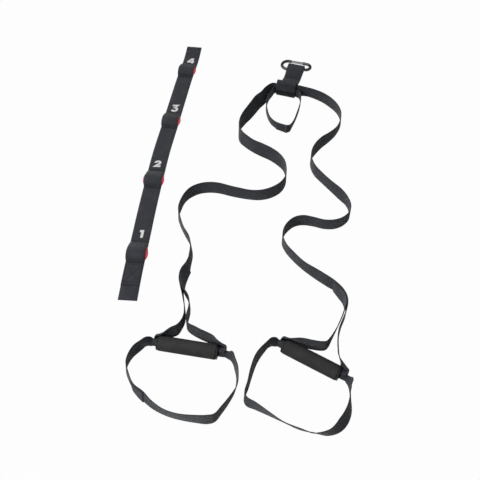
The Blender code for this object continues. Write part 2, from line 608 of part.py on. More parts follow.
def make_hook():
    """The snap hook: a pear-shaped bar with a hinged, sprung gate."""
    taper = math.asin((WIDE_RADIUS - NARROW_RADIUS) / (NARROW_END - WIDE_END))
    wide, narrow = Vector((WIDE_END, 0, 0)), Vector((NARROW_END, 0, 0))

    def rim(centre, radius, degrees):
        return centre + Vector((math.cos(math.radians(degrees)), math.sin(math.radians(degrees)), 0)) * radius

    tilt = math.degrees(taper)
    gate_start = rim(narrow, NARROW_RADIUS, 90 - tilt)
    gate_way = (rim(wide, WIDE_RADIUS, 90 - tilt) - gate_start).normalized()
    pin = gate_start + gate_way * PIN_SETBACK
    nose = pin + gate_way * GATE_LENGTH
    outline = [rim(narrow, NARROW_RADIUS, 90 - tilt - (180 - 2 * tilt) * k / 9) for k in range(10)]
    outline += [rim(wide, WIDE_RADIUS, -90 + tilt - (180 + 2 * tilt) * k / 13) for k in range(14)]
    outline += [nose + gate_way * NOSE_GAP]
    builder = bmesh.new()
    bar(builder, [HOOK_FRAME @ p for p in outline], BAR)
    body = object_from(builder, "snap_hook_body", DARK_METAL)

    angle = math.atan2(gate_way.y, gate_way.x)
    gate_frame = HOOK_FRAME @ Matrix.Translation(pin) @ Matrix.Rotation(angle, 4, "Z")

    def along(start):
        """A frame with Z along the gate, half a spring's length beyond this start."""
        return (gate_frame @ Matrix.Translation((start + SPRING_LENGTH / 2, 0, 0))
                @ Matrix.Rotation(math.radians(90), 4, "Y"))

    tongue_reach = PIN_SETBACK + BAR / 2
    combine(body, tongue("tool_tongue", tongue_reach, gate_frame), "UNION")
    combine(body, drum("tool_pin_hole", PIN_RADIUS + GAP, 4 * BAR, gate_frame), "DIFFERENCE")

    builder = bmesh.new()
    bar(builder, [gate_frame @ Vector((x, 0, 0)) for x in (KNUCKLE_TRIM, GATE_LENGTH)], GATE_BAR)
    gate = object_from(builder, "snap_hook_gate", BRIGHT_METAL)
    knuckle = drum("tool_knuckle", GATE_BAR - KNUCKLE_TRIM, 1.6 * GATE_BAR, gate_frame)
    combine(gate, knuckle, "UNION")
    slot_length = 2 * (TONGUE_RADIUS + 0.0008)
    combine(gate, block("tool_gate_slot", (slot_length, 3 * BAR, TONGUE + 2 * GAP), gate_frame), "DIFFERENCE")
    combine(gate, drum("tool_gate_hole", PIN_RADIUS + GAP, 4 * BAR, gate_frame), "DIFFERENCE")
    combine(gate, drum("tool_spring_bore", SPRING_RADIUS + GAP, SPRING_LENGTH, along(SPRING_START)), "DIFFERENCE")

    builder = bmesh.new()
    bmesh.ops.create_cone(builder, cap_ends=True, segments=20, radius1=PIN_RADIUS, radius2=PIN_RADIUS,
                          depth=1.7 * GATE_BAR, matrix=gate_frame)
    steel_pin = object_from(builder, "snap_hook_gate_pin", DARK_METAL)
    builder = bmesh.new()
    bmesh.ops.create_cone(builder, cap_ends=True, segments=12, radius1=SPRING_RADIUS, radius2=SPRING_RADIUS,
                          depth=SPRING_LENGTH - 2 * GAP, matrix=along(SPRING_START))
    spring = object_from(builder, "snap_hook_gate_spring", BRIGHT_METAL)
    spine = HOOK_FRAME @ Vector(SPINE_MIDDLE)
    for piece, axis_point in ((body, spine), (steel_pin, spine), (gate, gate_frame.translation),
                              (spring, gate_frame.translation)):
        put_origin(piece, axis_point)


class Way:
    """Positions along a lying strap's middle line."""

    def __init__(self, route):
        self.curve = [Vector(p) for p in smooth_curve(route)]
        self.along = distances(self.curve)
        self.length = self.along[-1]

    def section(self, distance, height, shift=0.0, widening=0.0):
        """A level section of the strap, shifted to the right of the way and wider by a share."""
        k = 1
        while k < len(self.along) - 1 and self.along[k] < distance:
            k += 1
        a, b = self.curve[k - 1], self.curve[k]
        share = (distance - self.along[k - 1]) / (self.along[k] - self.along[k - 1])
        spot = a + (b - a) * share
        forward = (b - a).normalized()
        left = Vector((-forward.y, forward.x, 0))
        return Section(Vector((spot.x, spot.y, height)) - left * shift, left * (1 + widening), UP)

    def distance_at(self, y):
        """How far along the way the strap passes this Y."""
        k = next(i for i, p in enumerate(self.curve) if p.y >= y)
        return self.along[k]


def arch(angle):
    """A place on a loop at this angle along its arch: how far along the loop and how high, both as shares. The
    crest is nearer to the near foot, where the loop is steep, and its far side is gentle."""
    if angle < math.pi / 2:
        return CREST * (1 - math.cos(angle)), math.sin(angle) ** NEAR_RISE
    onward = max(-math.cos(angle), 0.0)
    return CREST + (1 - CREST) * onward, 1 - onward ** FAR_FALL


def top_flat(way, number, start, end, height):
    """A stretch of the extender's upper ply that lies flat, between the feet of two loops."""
    steps = max(2, round((end - start) / TOP_STEP))
    strap("extender_top_strap_" + str(number),
          [way.section(start + (end - start) * k / steps, height) for k in range(steps + 1)], EXTENDER_WIDTH)


def make_extender():
    """The extender: a ground ply, an upper ply that rises in four loops, and a red lining in each loop. The upper
    ply is one strap, sewn down at the loops' feet, and here it is a node for each loop and each flat stretch."""
    way = Way(EXTENDER)
    low, high = WEB / 2, WEB / 2 + PLY
    steps = 26
    strap("extender_ground_strap", [way.section(way.length * k / steps, low) for k in range(steps + 1)],
          EXTENDER_WIDTH)

    loop_starts = [way.distance_at(y) - LOOP_LENGTH / 2 for y in LOOP_PLACES]
    flat_from = TOP_PLY_START
    for number, start in enumerate(loop_starts, 1):
        top_flat(way, number, flat_from, start - LOOP_FOOT - GAP, high)
        upper = [way.section(start - LOOP_FOOT, high)]
        for k in range(LOOP_STEPS + 1):
            along, height = arch(math.pi * k / LOOP_STEPS)
            upper.append(way.section(start + LOOP_LENGTH * along, high + LOOP_HEIGHT * height))
        upper.append(way.section(start + LOOP_LENGTH + LOOP_FOOT, high))
        strap("extender_loop_strap_" + str(number), upper, EXTENDER_WIDTH)
        flat_from = start + LOOP_LENGTH + LOOP_FOOT + GAP
    top_flat(way, len(loop_starts) + 1, flat_from, way.length, high)

    lining_low = WEB + GAP + LINING / 2
    inset = WEB + GAP + LINING_INSET
    for number, (start, (bulge, widening)) in enumerate(zip(loop_starts, LININGS), 1):
        lining = []
        for k in range(LOOP_STEPS + 1):
            angle = math.pi * k / LOOP_STEPS
            along, height = arch(angle)
            share = math.sin(angle) ** LINING_FULLNESS
            lining.append(way.section(start + inset + (LOOP_LENGTH - 2 * inset) * along,
                                      lining_low + (LOOP_HEIGHT - LINING_DROP) * height,
                                      bulge * share, widening * share))
        strap("extender_lining_" + str(number), lining, LINING_WIDTH, look=RED, thickness=LINING)


for old in list(bpy.data.objects):
    bpy.data.objects.remove(old)

make_anchor()
make_loose_straps()
make_hook()
make_handle("left", LEFT_GRIP, LEFT_FORK, LEFT_YOKE_OUT, LEFT_YOKE_BACK, LEFT_CRADLE, 0,
            LEFT_REACHES, LEFT_SKIPS)
make_handle("right", RIGHT_GRIP, RIGHT_FORK, RIGHT_YOKE_OUT, RIGHT_YOKE_BACK, RIGHT_CRADLE, GRIP_LENGTH,
            RIGHT_REACHES, RIGHT_SKIPS)
make_extender()
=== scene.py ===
"""The looks of a suspension trainer laid out on a floor, over the frame of its CAD model. Metres, +Z up."""
import math
from math import cos, pi, radians, sin
import bpy
import numpy as np
from mathutils import Matrix, Vector


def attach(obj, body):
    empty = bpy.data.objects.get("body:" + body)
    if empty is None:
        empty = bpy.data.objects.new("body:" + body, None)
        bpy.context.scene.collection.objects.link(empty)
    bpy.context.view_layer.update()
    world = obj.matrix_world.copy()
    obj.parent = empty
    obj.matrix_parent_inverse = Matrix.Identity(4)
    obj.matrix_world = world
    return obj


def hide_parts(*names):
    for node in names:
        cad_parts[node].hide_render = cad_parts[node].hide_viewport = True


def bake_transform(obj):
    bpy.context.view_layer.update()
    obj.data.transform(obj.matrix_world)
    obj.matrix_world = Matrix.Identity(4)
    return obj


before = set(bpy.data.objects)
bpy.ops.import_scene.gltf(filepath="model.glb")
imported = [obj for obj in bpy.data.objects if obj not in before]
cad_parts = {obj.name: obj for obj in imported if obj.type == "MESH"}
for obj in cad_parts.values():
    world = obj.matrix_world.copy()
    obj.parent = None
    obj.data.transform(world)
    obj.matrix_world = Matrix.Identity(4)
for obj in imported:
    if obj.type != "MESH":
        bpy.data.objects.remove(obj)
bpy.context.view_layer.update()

UP = Vector((0, 0, 1))


def add_object(name, data, place=(0, 0, 0), turn=(0, 0, 0)):
    made = bpy.data.objects.new(name, data)
    made.location, made.rotation_euler = place, turn
    bpy.context.scene.collection.objects.link(made)
    return made


def left_of(way):
    """The level direction to the left of a way."""
    return Vector((-way.y, way.x, 0))


def spread(start, end, steps):
    """Values in even steps from start to end."""
    return [start + (end - start) * k / steps for k in range(steps + 1)]


# Camera
CAMERA_PLACE = (0.022, -0.9987, 1.170)
CAMERA_TILT = radians(37)
lens = bpy.data.cameras.new("camera")
lens.lens, lens.sensor_width = 50, 36
bpy.context.scene.camera = add_object("camera", lens, CAMERA_PLACE, (CAMERA_TILT, 0, 0))


# Sizes, as in the CAD source
STRAP_WIDTH = 0.038
WEB = 0.0018
GAP = 0.0003
ANCHOR_WIDTH = 0.045
SLEEVE_WIDTH = 0.050
SLEEVE_BACK_HEM = 0.0285
STABILISER_WIDTH = 0.025
FLEX_GAP = 0.0007
FORK_GAP = 0.0011
PLY = WEB + GAP
SLEEVE_CENTRE = (0.1423, 0.3590)
SLEEVE_TURN = radians(-17.0)
STRAP_LIFT = PLY
MAIN_OFFSET = 0.0013
STABILISER_OFFSET = -0.0013
LOOP_HALF_DEPTH = 0.0038
SPINE_DISTANCE = 0.1015
LEAVE_HEIGHT = 0.0195
LAND_DISTANCE, LAND_RADIUS = 0.064, 0.030
EYE_NEAR, EYE_FAR = 0.009, 0.016
HOOK_CENTRE = (0.1746, 0.4708)
HOOK_HEIGHT = 0.0063
HOOK_TURN = radians(-9.6)
BAR = 0.0040
WIDE_END, WIDE_RADIUS = -0.0215, 0.017
NARROW_END, NARROW_RADIUS = 0.0265, 0.012
GATE_BAR = 0.0034
GATE_LENGTH = 0.036
PIN_RADIUS = 0.0012
PIN_SETBACK = 0.005
NOSE_GAP = 0.0006
TONGUE = 0.0024
TONGUE_RADIUS = 0.0026
GRIP_HEIGHT = 0.016
GRIP_LENGTH = 0.120
FOAM_RADIUS = 0.015
TUBE_OUTER = 0.0117
TUBE_INNER = 0.0107
RING_LENGTH = 0.0025
RING_RADIUS = 0.0142
YOKE_ROLL = 0.0095
CRADLE_ROLL = 0.0065
HUG_RADIUS = 0.0163
LEFT_GRIP = ((-0.1400, -0.3785), (-0.0190, -0.4000))
RIGHT_GRIP = ((0.1070, -0.3850), (0.2095, -0.4450))
EXTENDER_WIDTH = 0.0405
LOOP_LENGTH = 0.050
LOOP_HEIGHT = 0.0165
CREST = 0.36
NEAR_RISE = 0.6
FAR_FALL = 1.35
LINING_WIDTH = 0.0395
LININGS = ((0.0045, 0.16), (0.0020, 0.26), (0.0045, 0.16), (0.0045, 0.16))
LINING = 0.0010
LINING_DROP = 0.0022
LINING_INSET = 0.0006
LINING_FULLNESS = 0.8
TOP_PLY_START = 0.035
LOOP_PLACES = (-0.152, 0.0575, 0.2545, 0.4525)
SEWN_OFFSET = 0.0026
SEWN_POINTS = 4
LEAD_OUT = 0.0020
LIFT_LENGTH = 0.060
HUG_LENGTH = 0.030
UNROLL_LENGTH = 0.038
CRADLE_CLEARANCE = 0.0022
LEFT_REACHES, LEFT_SKIPS = (0.005, 0.014), (0, 0)
RIGHT_REACHES, RIGHT_SKIPS = (0.008, 0.012), (0, 40)

# Sizes of the looks alone
SLEEVE_HEM = 0.0020
# The near-black sheet of painted shade on the sleeve's front: where along the cover it lies, then how thick it is
SHADE_PANEL_SPAN = (0.0035, 0.0165)
SHADE_PANEL_THICKNESS = 0.0006
BEVEL = 0.0002
RING_ROUND = 0.0006
FOAM_ROUND, FOAM_SWELL = 0.0022, 0.00012
LINING_LEAN = 1.4


def metres(*points):
    """Points given in millimetres, with any lean in degrees as it is."""
    return [(x / 1000, y / 1000, *lean) for x, y, *lean in points]


# Routes, as in the CAD source: X and Y of the lower edge in millimetres, and the lean in degrees
EXTENDER = metres(
    (-209.5, -273), (-204.5, -200), (-196.5, -115), (-189, -30), (-179.5, 60), (-169, 150), (-155, 240),
    (-140.5, 335), (-125.5, 430), (-112.5, 500), (-105.5, 557))
LEFT_LEG = metres(
    (108.5, 365.5, -8), (98, 347, -15), (87, 326, -19), (74, 309, -23), (61.5, 288, -21), (49, 268, -18),
    (35, 249, -11), (23.5, 229, -3), (19, 207, 2), (22.5, 184, 8), (34.5, 168.5, 8), (52.5, 151.5, 8), (71, 138, 12),
    (94.5, 123, 10), (112.5, 106.5, 7), (126, 87.5, 1), (130, 63, -1), (126, 39, 0), (114, 19, -1), (92, 4, 0),
    (68, -2, 3), (45, -0.5, 5), (22, 4, 3), (-1.5, 10.5, 2), (-25, 18, 1), (-48, 20.5, 1), (-70.5, 17, 2),
    (-90, 6, 2), (-104, -10, 4), (-112, -33.5, 2), (-116, -56, 3), (-110, -79.5, 1), (-98.5, -106, -4),
    (-85.5, -133.5, -3), (-80.5, -160, -4))
LEFT_FORK = metres((-83, -187, -3))[0]
RIGHT_LEG = metres(
    (182, 354.5, -9), (199, 353, -13), (218, 344, -11), (237.5, 330, -9), (255, 311, -7), (270, 288.5, -8),
    (276.5, 262, -6), (273, 238, -2), (258, 207, 5), (240, 185, 3), (220.5, 164.5, -3), (205, 144, -4), (193, 123, 0),
    (191, 100, -1), (198, 74, -2), (215.5, 48, -4), (232.5, 24.5, -3), (250, 0, 1), (264.5, -20, -4), (269, -43, -2),
    (265, -61.5, 0), (250.5, -77.5, 3), (230, -86.5, 4), (208, -86, 6), (185, -79, 6), (162, -75.5, 3),
    (144, -79.5, 2), (130, -90.5, 1), (118, -108, 1), (114, -129, 0), (121, -150.5, -4), (137.5, -175.5, -4),
    (158.5, -199.5, -5), (182.5, -221.5, 0))
RIGHT_FORK = metres((205, -240, 1))[0]
LEFT_YOKE_OUT = metres(
    (-85, -203, -8), (-91, -222, -15), (-95, -240, -12), (-95, -257, -7), (-92, -283, -2), (-88.5, -308, 0),
    (-89, -326, 1), (-94.5, -341.5, 1), (-102.5, -354, -3))
LEFT_YOKE_BACK = metres(
    (-45, -368, -3), (-56, -362.5, -3), (-67, -356, -3), (-77, -348.5, 0), (-82.5, -341, 0), (-83.5, -330, 0),
    (-79.5, -306, 0), (-80.5, -286, 1), (-85, -272, 4), (-89.5, -263.5, 6))
RIGHT_YOKE_OUT = metres(
    (217.5, -249, -2), (227, -266, 3), (235, -280.5, 1), (237, -296, 0), (232.5, -316, 0), (223.5, -337, 0),
    (217, -358, -4), (215, -379, -8), (215, -400, -11), (218, -416, -14))
RIGHT_YOKE_BACK = metres(
    (130, -378.5, 0), (146, -381, 0), (162, -385, 0), (178, -387.5, 0), (188, -386.5, 0), (194.5, -380, 0),
    (202, -365, -4), (211, -347, -6), (221, -326, -6), (229, -309, -3))
LEFT_CRADLE = metres(
    (-162, -384.5, 2), (-176.5, -392.5, -1), (-189, -407.5, 3), (-195.5, -429, 6), (-187.5, -452.5, 4),
    (-174, -474, 0), (-157.5, -492, 6), (-138.5, -507.5, 1), (-114.5, -520, -5), (-89, -528, -6), (-60, -533.5, -2),
    (-37, -536, 2), (-24, -532, 0), (-12, -516.5, -2), (1, -496.5, -5), (11.5, -475, -8), (15.5, -453, -5),
    (13, -433, -5), (5, -418, -2))
RIGHT_CRADLE = metres(
    (83, -384, 6), (69, -392.5, 1), (55, -414, -4), (45, -441.5, -4), (37, -468.5, -1), (29.5, -491, 2),
    (34, -501.5, 2), (50.5, -509, -2), (77.5, -521.5, -12), (104.5, -534.5, -20), (130.5, -547, -18),
    (157, -553, -22), (180, -558, -4), (202, -552, 16), (216.5, -538.5, 20), (226, -518, 17), (228, -493, 9),
    (224, -469, 3))
STABILISER = metres(
    (110.5, 362, 0), (106.5, 354, 0), (96, 335, 0), (89.5, 308, 0), (91.5, 278, -1), (99, 253, -6), (111, 236, -6),
    (127, 226.5, -6), (138.5, 220.5, -1), (145, 222, -1), (152, 237, -7), (164, 268, -4), (174.5, 305, -3),
    (178.5, 330, 0), (175.5, 344.5, 0))

SLEEVE_FRAME = Matrix.Translation((*SLEEVE_CENTRE, 0)) @ Matrix.Rotation(SLEEVE_TURN, 4, "Z")
HOOK_FRAME = Matrix.Translation((*HOOK_CENTRE, HOOK_HEIGHT)) @ Matrix.Rotation(HOOK_TURN, 4, "Z")


# Shapes of the routes, as in the CAD source but finer
CURVE_STEPS, WAY_STEPS = 9, 14
CUFF_STEPS = 16
TUBE_STEPS = 20
LOOP_STEPS = 36
ROLL_STEPS = 6
BAND_STEP = 0.004
CLOSEST_SECTIONS = 2e-4
FLAT_CURL = 1e-3
TINY = 1e-7


def smooth_curve(points, steps=CURVE_STEPS):
    """Points along a centripetal Catmull-Rom curve through points of any number of values."""
    before = tuple(2 * p - q for p, q in zip(points[0], points[1]))
    beyond = tuple(2 * p - q for p, q in zip(points[-1], points[-2]))
    ends = [before] + points + [beyond]
    curve = []
    for k in range(len(points) - 1):
        four = ends[k:k + 4]
        u, v, w = (math.dist(p[:2], q[:2]) ** 0.5 for p, q in zip(four, four[1:]))
        for step in range(steps):
            t = step / steps
            values = []
            for p, q, r, s in zip(*four):
                leaving = v * ((q - p) / u - (r - p) / (u + v)) + (r - q)
                arriving = v * ((s - r) / w - (s - q) / (v + w)) + (r - q)
                values.append(q * (2 * t ** 3 - 3 * t * t + 1) + leaving * (t ** 3 - 2 * t * t + t)
                              + r * (3 * t * t - 2 * t ** 3) + arriving * (t ** 3 - t * t))
            curve.append(tuple(values))
    curve.append(tuple(points[-1]))
    return curve


class Section:
    """One crosswise line of a strap: its middle, the way across its width, the side it curls to, and the curl."""

    def __init__(self, middle, across, side, curl=0.0):
        self.middle = middle
        self.across = across
        self.side = side
        self.curl = curl

    def point(self, offset):
        if abs(self.curl) < FLAT_CURL:
            return self.middle + self.across * offset
        angle = offset * self.curl
        return (self.middle + self.across * (sin(angle) / self.curl)
                + self.side * ((1 - cos(angle)) / self.curl))

    def tangent(self, offset):
        angle = offset * self.curl
        return self.across * cos(angle) + self.side * sin(angle)


def ease(t):
    t = min(max(t, 0.0), 1.0)
    return t * t * (3 - 2 * t)


def distances(points):
    along = [0.0]
    for a, b in zip(points, points[1:]):
        along.append(along[-1] + (Vector(b) - Vector(a)).length)
    return along


def locate(run, distance):
    """Which stretch of a run holds this distance, and how far along the stretch it is, as a share."""
    k = 1
    while k < len(run) - 1 and run[k] < distance:
        k += 1
    return k, (distance - run[k - 1]) / (run[k] - run[k - 1])


def standing(route, width=STRAP_WIDTH, lifts=(0.0, 0.0)):
    """Sections of a strap that stands on the floor on its lower edge. lifts raise its two ends."""
    curve = smooth_curve(route)
    along = distances([p[:2] + (0.0,) for p in curve])
    sections = []
    for k, (x, y, lean) in enumerate(curve):
        before, after = curve[max(k - 1, 0)], curve[min(k + 1, len(curve) - 1)]
        forward = Vector((after[0] - before[0], after[1] - before[1], 0)).normalized()
        left = left_of(forward)
        tilt = radians(lean)
        across = UP * cos(tilt) + left * sin(tilt)
        side = left * cos(tilt) - UP * sin(tilt)
        lift = (lifts[0] * ease(1 - along[k] / LIFT_LENGTH)
                + lifts[1] * ease(1 - (along[-1] - along[k]) / LIFT_LENGTH))
        edge = Vector((x, y, lift + abs(sin(tilt)) * WEB / 2))
        sections.append(Section(edge + across * (width / 2), across, side))
    return sections


class Grip:
    """Where a handle lies: its middle, the way along it and the way towards the fork."""

    def __init__(self, mouths):
        first, second = (Vector((x, y, GRIP_HEIGHT)) for x, y in mouths)
        self.along = (second - first).normalized()
        self.middle = (first + second) / 2
        self.start = self.middle - self.along * (GRIP_LENGTH / 2)
        self.fork_side = left_of(self.along)

    def rolled(self, distance, radius, place, heading):
        middle = self.start + self.along * distance + self.fork_side * (place * radius)
        return Section(middle, UP, self.fork_side * heading, -heading * place / radius)


def half_height(curl, width=STRAP_WIDTH):
    return sin(min(width / 2 * curl, pi / 2)) / curl if curl else width / 2


def roll_up(sections, target, length, at_end, quick=False):
    """Rolls a standing strap up over its last (or first) stretch, to the curl and height of the target."""
    run = distances([Vector((s.middle.x, s.middle.y, 0)) for s in sections])
    clearance = target.middle.z - half_height(abs(target.curl))
    for section, along in zip(sections, run):
        left = max(1 - (run[-1] - along if at_end else along) / length, 0.0)
        share = left ** 3 if quick else ease(left)
        if not share:
            continue
        section.curl = target.curl * share
        section.middle.z = half_height(abs(section.curl)) + clearance * share
        section.across = (section.across + (UP - section.across) * share).normalized()
        lowest = min(section.point(o).z for o in spread(-STRAP_WIDTH / 2, STRAP_WIDTH / 2, ROLL_STEPS))
        section.middle.z += max(WEB / 2 * share - lowest, 0.0)
    return sections


def cuff(grip, mouth, reach, heading, start_angle=0):
    """Sections where the yoke turns over one mouth of the tube, from outside the foam to inside the tube."""
    turn = (HUG_RADIUS - YOKE_ROLL) / 2
    outward = -1 if mouth == 0 else 1
    sections = []
    for angle in spread(radians(start_angle), pi, CUFF_STEPS):
        radius = YOKE_ROLL + turn * (1 + cos(angle))
        distance = mouth + outward * (reach - turn + turn * sin(angle))
        sections.append(grip.rolled(distance, radius, 1, heading))
    return sections


def yoke_sections(grip, fork, out_route, back_route, first, reaches, skips):
    """The yoke strap: from the fork through the tube, first mouth first, and back beside itself to the fork."""
    heading = -1 if first == 0 else 1
    last = GRIP_LENGTH - first
    step = (Vector(out_route[0][:2]) - Vector(fork[:2])).normalized() * FORK_GAP
    beginning = (fork[0] + step.x, fork[1] + step.y, fork[2])
    over_first = cuff(grip, first, reaches[0], heading, skips[0])
    over_last = cuff(grip, last, reaches[1], heading, skips[1])[::-1]
    arrival, departure = over_first[0].middle, over_last[-1].middle
    there = [beginning] + out_route + [(arrival.x, arrival.y, 0.0)]
    sewn = [out_route[k][:2] for k in range(SEWN_POINTS + 1)]
    inner_side = heading * SEWN_OFFSET
    back = [(departure.x, departure.y, 0.0)] + back_route
    for k in range(SEWN_POINTS - 1, -1, -1):
        forward = (Vector(sewn[k + 1]) - Vector(sewn[max(k - 1, 0)])).normalized()
        back.append((sewn[k][0] + forward.y * inner_side, sewn[k][1] - forward.x * inner_side, -out_route[k][2]))
    outgoing = roll_up(standing(there), over_first[0], HUG_LENGTH, at_end=True)[:-1]
    incoming = roll_up(standing(back), over_last[-1], HUG_LENGTH, at_end=False)[1:]
    return outgoing + over_first + bridge(over_first[-1], over_last[0]) + over_last + incoming


def bridge(a, b, steps=TUBE_STEPS):
    """Sections between two rolled ones, for the straight run inside a tube."""
    return [Section(a.middle.lerp(b.middle, k / steps), a.across, a.side, a.curl) for k in range(1, steps)]


def cradle_sections(grip, route, reaches):
    """The foot cradle: a closed loop that leaves the tube's first mouth and comes back into its last one."""
    first = grip.rolled(-reaches[0] - CRADLE_CLEARANCE, CRADLE_ROLL, -1, -1)
    last = grip.rolled(GRIP_LENGTH + reaches[1] + CRADLE_CLEARANCE, CRADLE_ROLL, -1, -1)
    whole = [(first.middle.x, first.middle.y, 0.0)] + route + [(last.middle.x, last.middle.y, 0.0)]
    sections = roll_up(standing(whole), first, UNROLL_LENGTH, at_end=False, quick=True)
    middle = len(sections) // 2
    sections[middle:] = roll_up(sections[middle:], last, UNROLL_LENGTH, at_end=True, quick=True)
    return sections + bridge(sections[-1], sections[0])


def sleeve_point(x, y, z=0.0):
    """A point given from the sleeve: x along it, y towards the snap hook."""
    return SLEEVE_FRAME @ Vector((x, y, z))


def rounded(corners, step=6):
    """A path of straight stretches with rounded corners, each corner given by Y, Z and its radius."""
    path = []
    count = len(corners)
    for k, (y, z, radius) in enumerate(corners):
        corner = Vector((y, z))
        if not radius:
            path.append(corner)
            continue
        before = (Vector(corners[k - 1][:2]) - corner).normalized()
        after = (Vector(corners[(k + 1) % count][:2]) - corner).normalized()
        turn = pi - before.angle(after)
        reach = radius * math.tan(turn / 2)
        centre = corner + (before + after).normalized() * (radius / cos(turn / 2))
        steps = max(2, round(math.degrees(turn) / step))
        start = corner + before * reach - centre
        sense = 1 if before.y * after.x - before.x * after.y > 0 else -1
        path += [centre + Matrix.Rotation(a, 2) @ start for a in spread(0, sense * turn, steps)]
    return path


def band_sections(corners, closed):
    across = (SLEEVE_FRAME.to_3x3() @ Vector((1, 0, 0))).normalized()
    path = rounded(corners)
    if closed:
        path.append(path[0])
    fine = [path[0]]
    for a, b in zip(path, path[1:]):
        pieces = max(1, math.ceil((b - a).length / BAND_STEP))
        fine += [a.lerp(b, k / pieces) for k in range(1, pieces + 1)]
    return [Section(sleeve_point(0, y, z), across, UP) for y, z in fine]


def mouth(x_sign, offset):
    points = [sleeve_point(x_sign * (SLEEVE_WIDTH / 2 + FLEX_GAP + out), offset) for out in (0.0, LEAD_OUT)]
    return [(point.x, point.y, 0.0) for point in points]


class Way:
    """Positions along a lying strap's middle line."""

    def __init__(self, route):
        self.curve = [Vector((*p, 0.0)) for p in smooth_curve(route, WAY_STEPS)]
        self.along = distances(self.curve)
        self.length = self.along[-1]

    def section(self, distance, height, shift=0.0, widening=0.0):
        k, share = locate(self.along, distance)
        a, b = self.curve[k - 1], self.curve[k]
        spot = a + (b - a) * share
        forward = (b - a).normalized()
        left = left_of(forward)
        return Section(Vector((spot.x, spot.y, height)) - left * shift, left * (1 + widening), UP)

    def distance_at(self, y):
        k = next(i for i, p in enumerate(self.curve) if p.y >= y)
        return self.along[k]


# Materials
class Nodes:
    """Short ways to add nodes to a node tree."""

    def __init__(self, owner):
        owner.use_nodes = True
        self.tree = owner.node_tree

    def add(self, kind, inputs=None, **settings):
        node = self.tree.nodes.new("ShaderNode" + kind)
        for name, value in settings.items():
            setattr(node, name, value)
        self.feed_all(node, inputs or {})
        return node

    def feed_all(self, node, inputs):
        for socket, value in inputs.items():
            self.feed(node.inputs[socket], value)

    def feed(self, socket, value):
        if isinstance(value, bpy.types.NodeSocket):
            self.tree.links.new(value, socket)
        else:
            socket.default_value = value

    def math(self, operation, *values):
        return self.add("Math", dict(enumerate(values)), operation=operation).outputs[0]


class Shading(Nodes):
    """A material with a Principled shader, and its patterns."""

    def __init__(self, name, roughness, metallic=0.0, specular=0.5):
        self.material = bpy.data.materials.new(name)
        super().__init__(self.material)
        self.shader = self.tree.nodes["Principled BSDF"]
        self.feed_all(self.shader, {"Roughness": roughness, "Metallic": metallic, "Specular IOR Level": specular})
        self.spot = self.add("TexCoord").outputs["Object"]

    def layer(self, name):
        """The two values of a UV layer."""
        return self.add("SeparateXYZ", {0: self.add("UVMap", uv_map=name).outputs[0]}).outputs[:2]

    def wave(self, value, length):
        return self.math("SINE", self.math("MULTIPLY", value, 2 * pi / length))

    def scaled(self, value, factor):
        return self.math("MULTIPLY", value, factor)

    def smooth(self, value, low, high):
        """0 below low, 1 above high, and smooth between them."""
        inputs = {"Value": value, "From Min": low, "From Max": high}
        return self.add("MapRange", inputs, interpolation_type="SMOOTHSTEP").outputs["Result"]

    def noise(self, scale, detail=2.0, vector=None):
        return self.add("TexNoise", {"Vector": vector or self.spot, "Scale": scale, "Detail": detail}).outputs["Fac"]

    def mix(self, factor, a, b):
        """A colour between two, each a socket or its red, green and blue."""
        a, b = (c if isinstance(c, bpy.types.NodeSocket) else (*c, 1.0) for c in (a, b))
        return self.add("Mix", {0: factor, 6: a, 7: b}, data_type="RGBA").outputs[2]

    def finish(self, colour, height, distance, roughness=None):
        """Links the colour, the bumps and, where it varies, the roughness."""
        bump = self.add("Bump", {"Distance": distance, "Height": height}).outputs[0]
        self.feed_all(self.shader, {"Base Color": colour, "Normal": bump})
        if roughness is not None:
            self.feed_all(self.shader, {"Roughness": roughness})
        return self.material


def woven(name, dark, light, edge, pitch=0.0016, panel=0.0048, sheen=0.25):
    """Webbing: fine yarns in herringbone panels, plain selvedges, and slight fading and dust."""
    look = Shading(name, 0.8, specular=0.25)
    look.feed_all(look.shader, {"Sheen Weight": sheen, "Sheen Roughness": 0.45})
    u, v = look.layer("web")
    zig = look.math("PINGPONG", look.math("ADD", u, 0.1), panel)
    twill = look.wave(look.math("ADD", v, zig), pitch)
    yarns = look.wave(u, pitch / 2)
    weave = look.math("ADD", look.scaled(twill, 0.35), look.scaled(yarns, 0.15))
    picks = look.wave(v, pitch * 0.8)
    selvedge = look.math("SUBTRACT", 1.0, look.smooth(look.layer("edge")[0], 0.0008, 0.0018))
    relief = look.add("Mix", {0: selvedge, 2: weave, 3: look.scaled(picks, 0.4)}, data_type="FLOAT").outputs[0]
    fuzz = look.noise(2600.0, 3.0)
    height = look.math("ADD", look.math("ADD", relief, 0.5), look.scaled(fuzz, 0.5))
    shade = look.math("MULTIPLY_ADD", relief, 0.55, 0.35)
    plain = look.mix(look.math("ADD", shade, look.scaled(fuzz, 0.3)), dark, light)
    worn = look.smooth(look.noise(42.0, 4.0), 0.42, 0.75)
    faded = look.mix(look.scaled(worn, 0.35), plain, edge)
    rubbed = look.math("MULTIPLY", selvedge, look.smooth(look.noise(160.0), 0.35, 0.75))
    colour = look.mix(look.scaled(rubbed, 0.5), faded, edge)
    return look.finish(colour, height, 0.00022, look.math("MULTIPLY_ADD", fuzz, 0.2, 0.68))


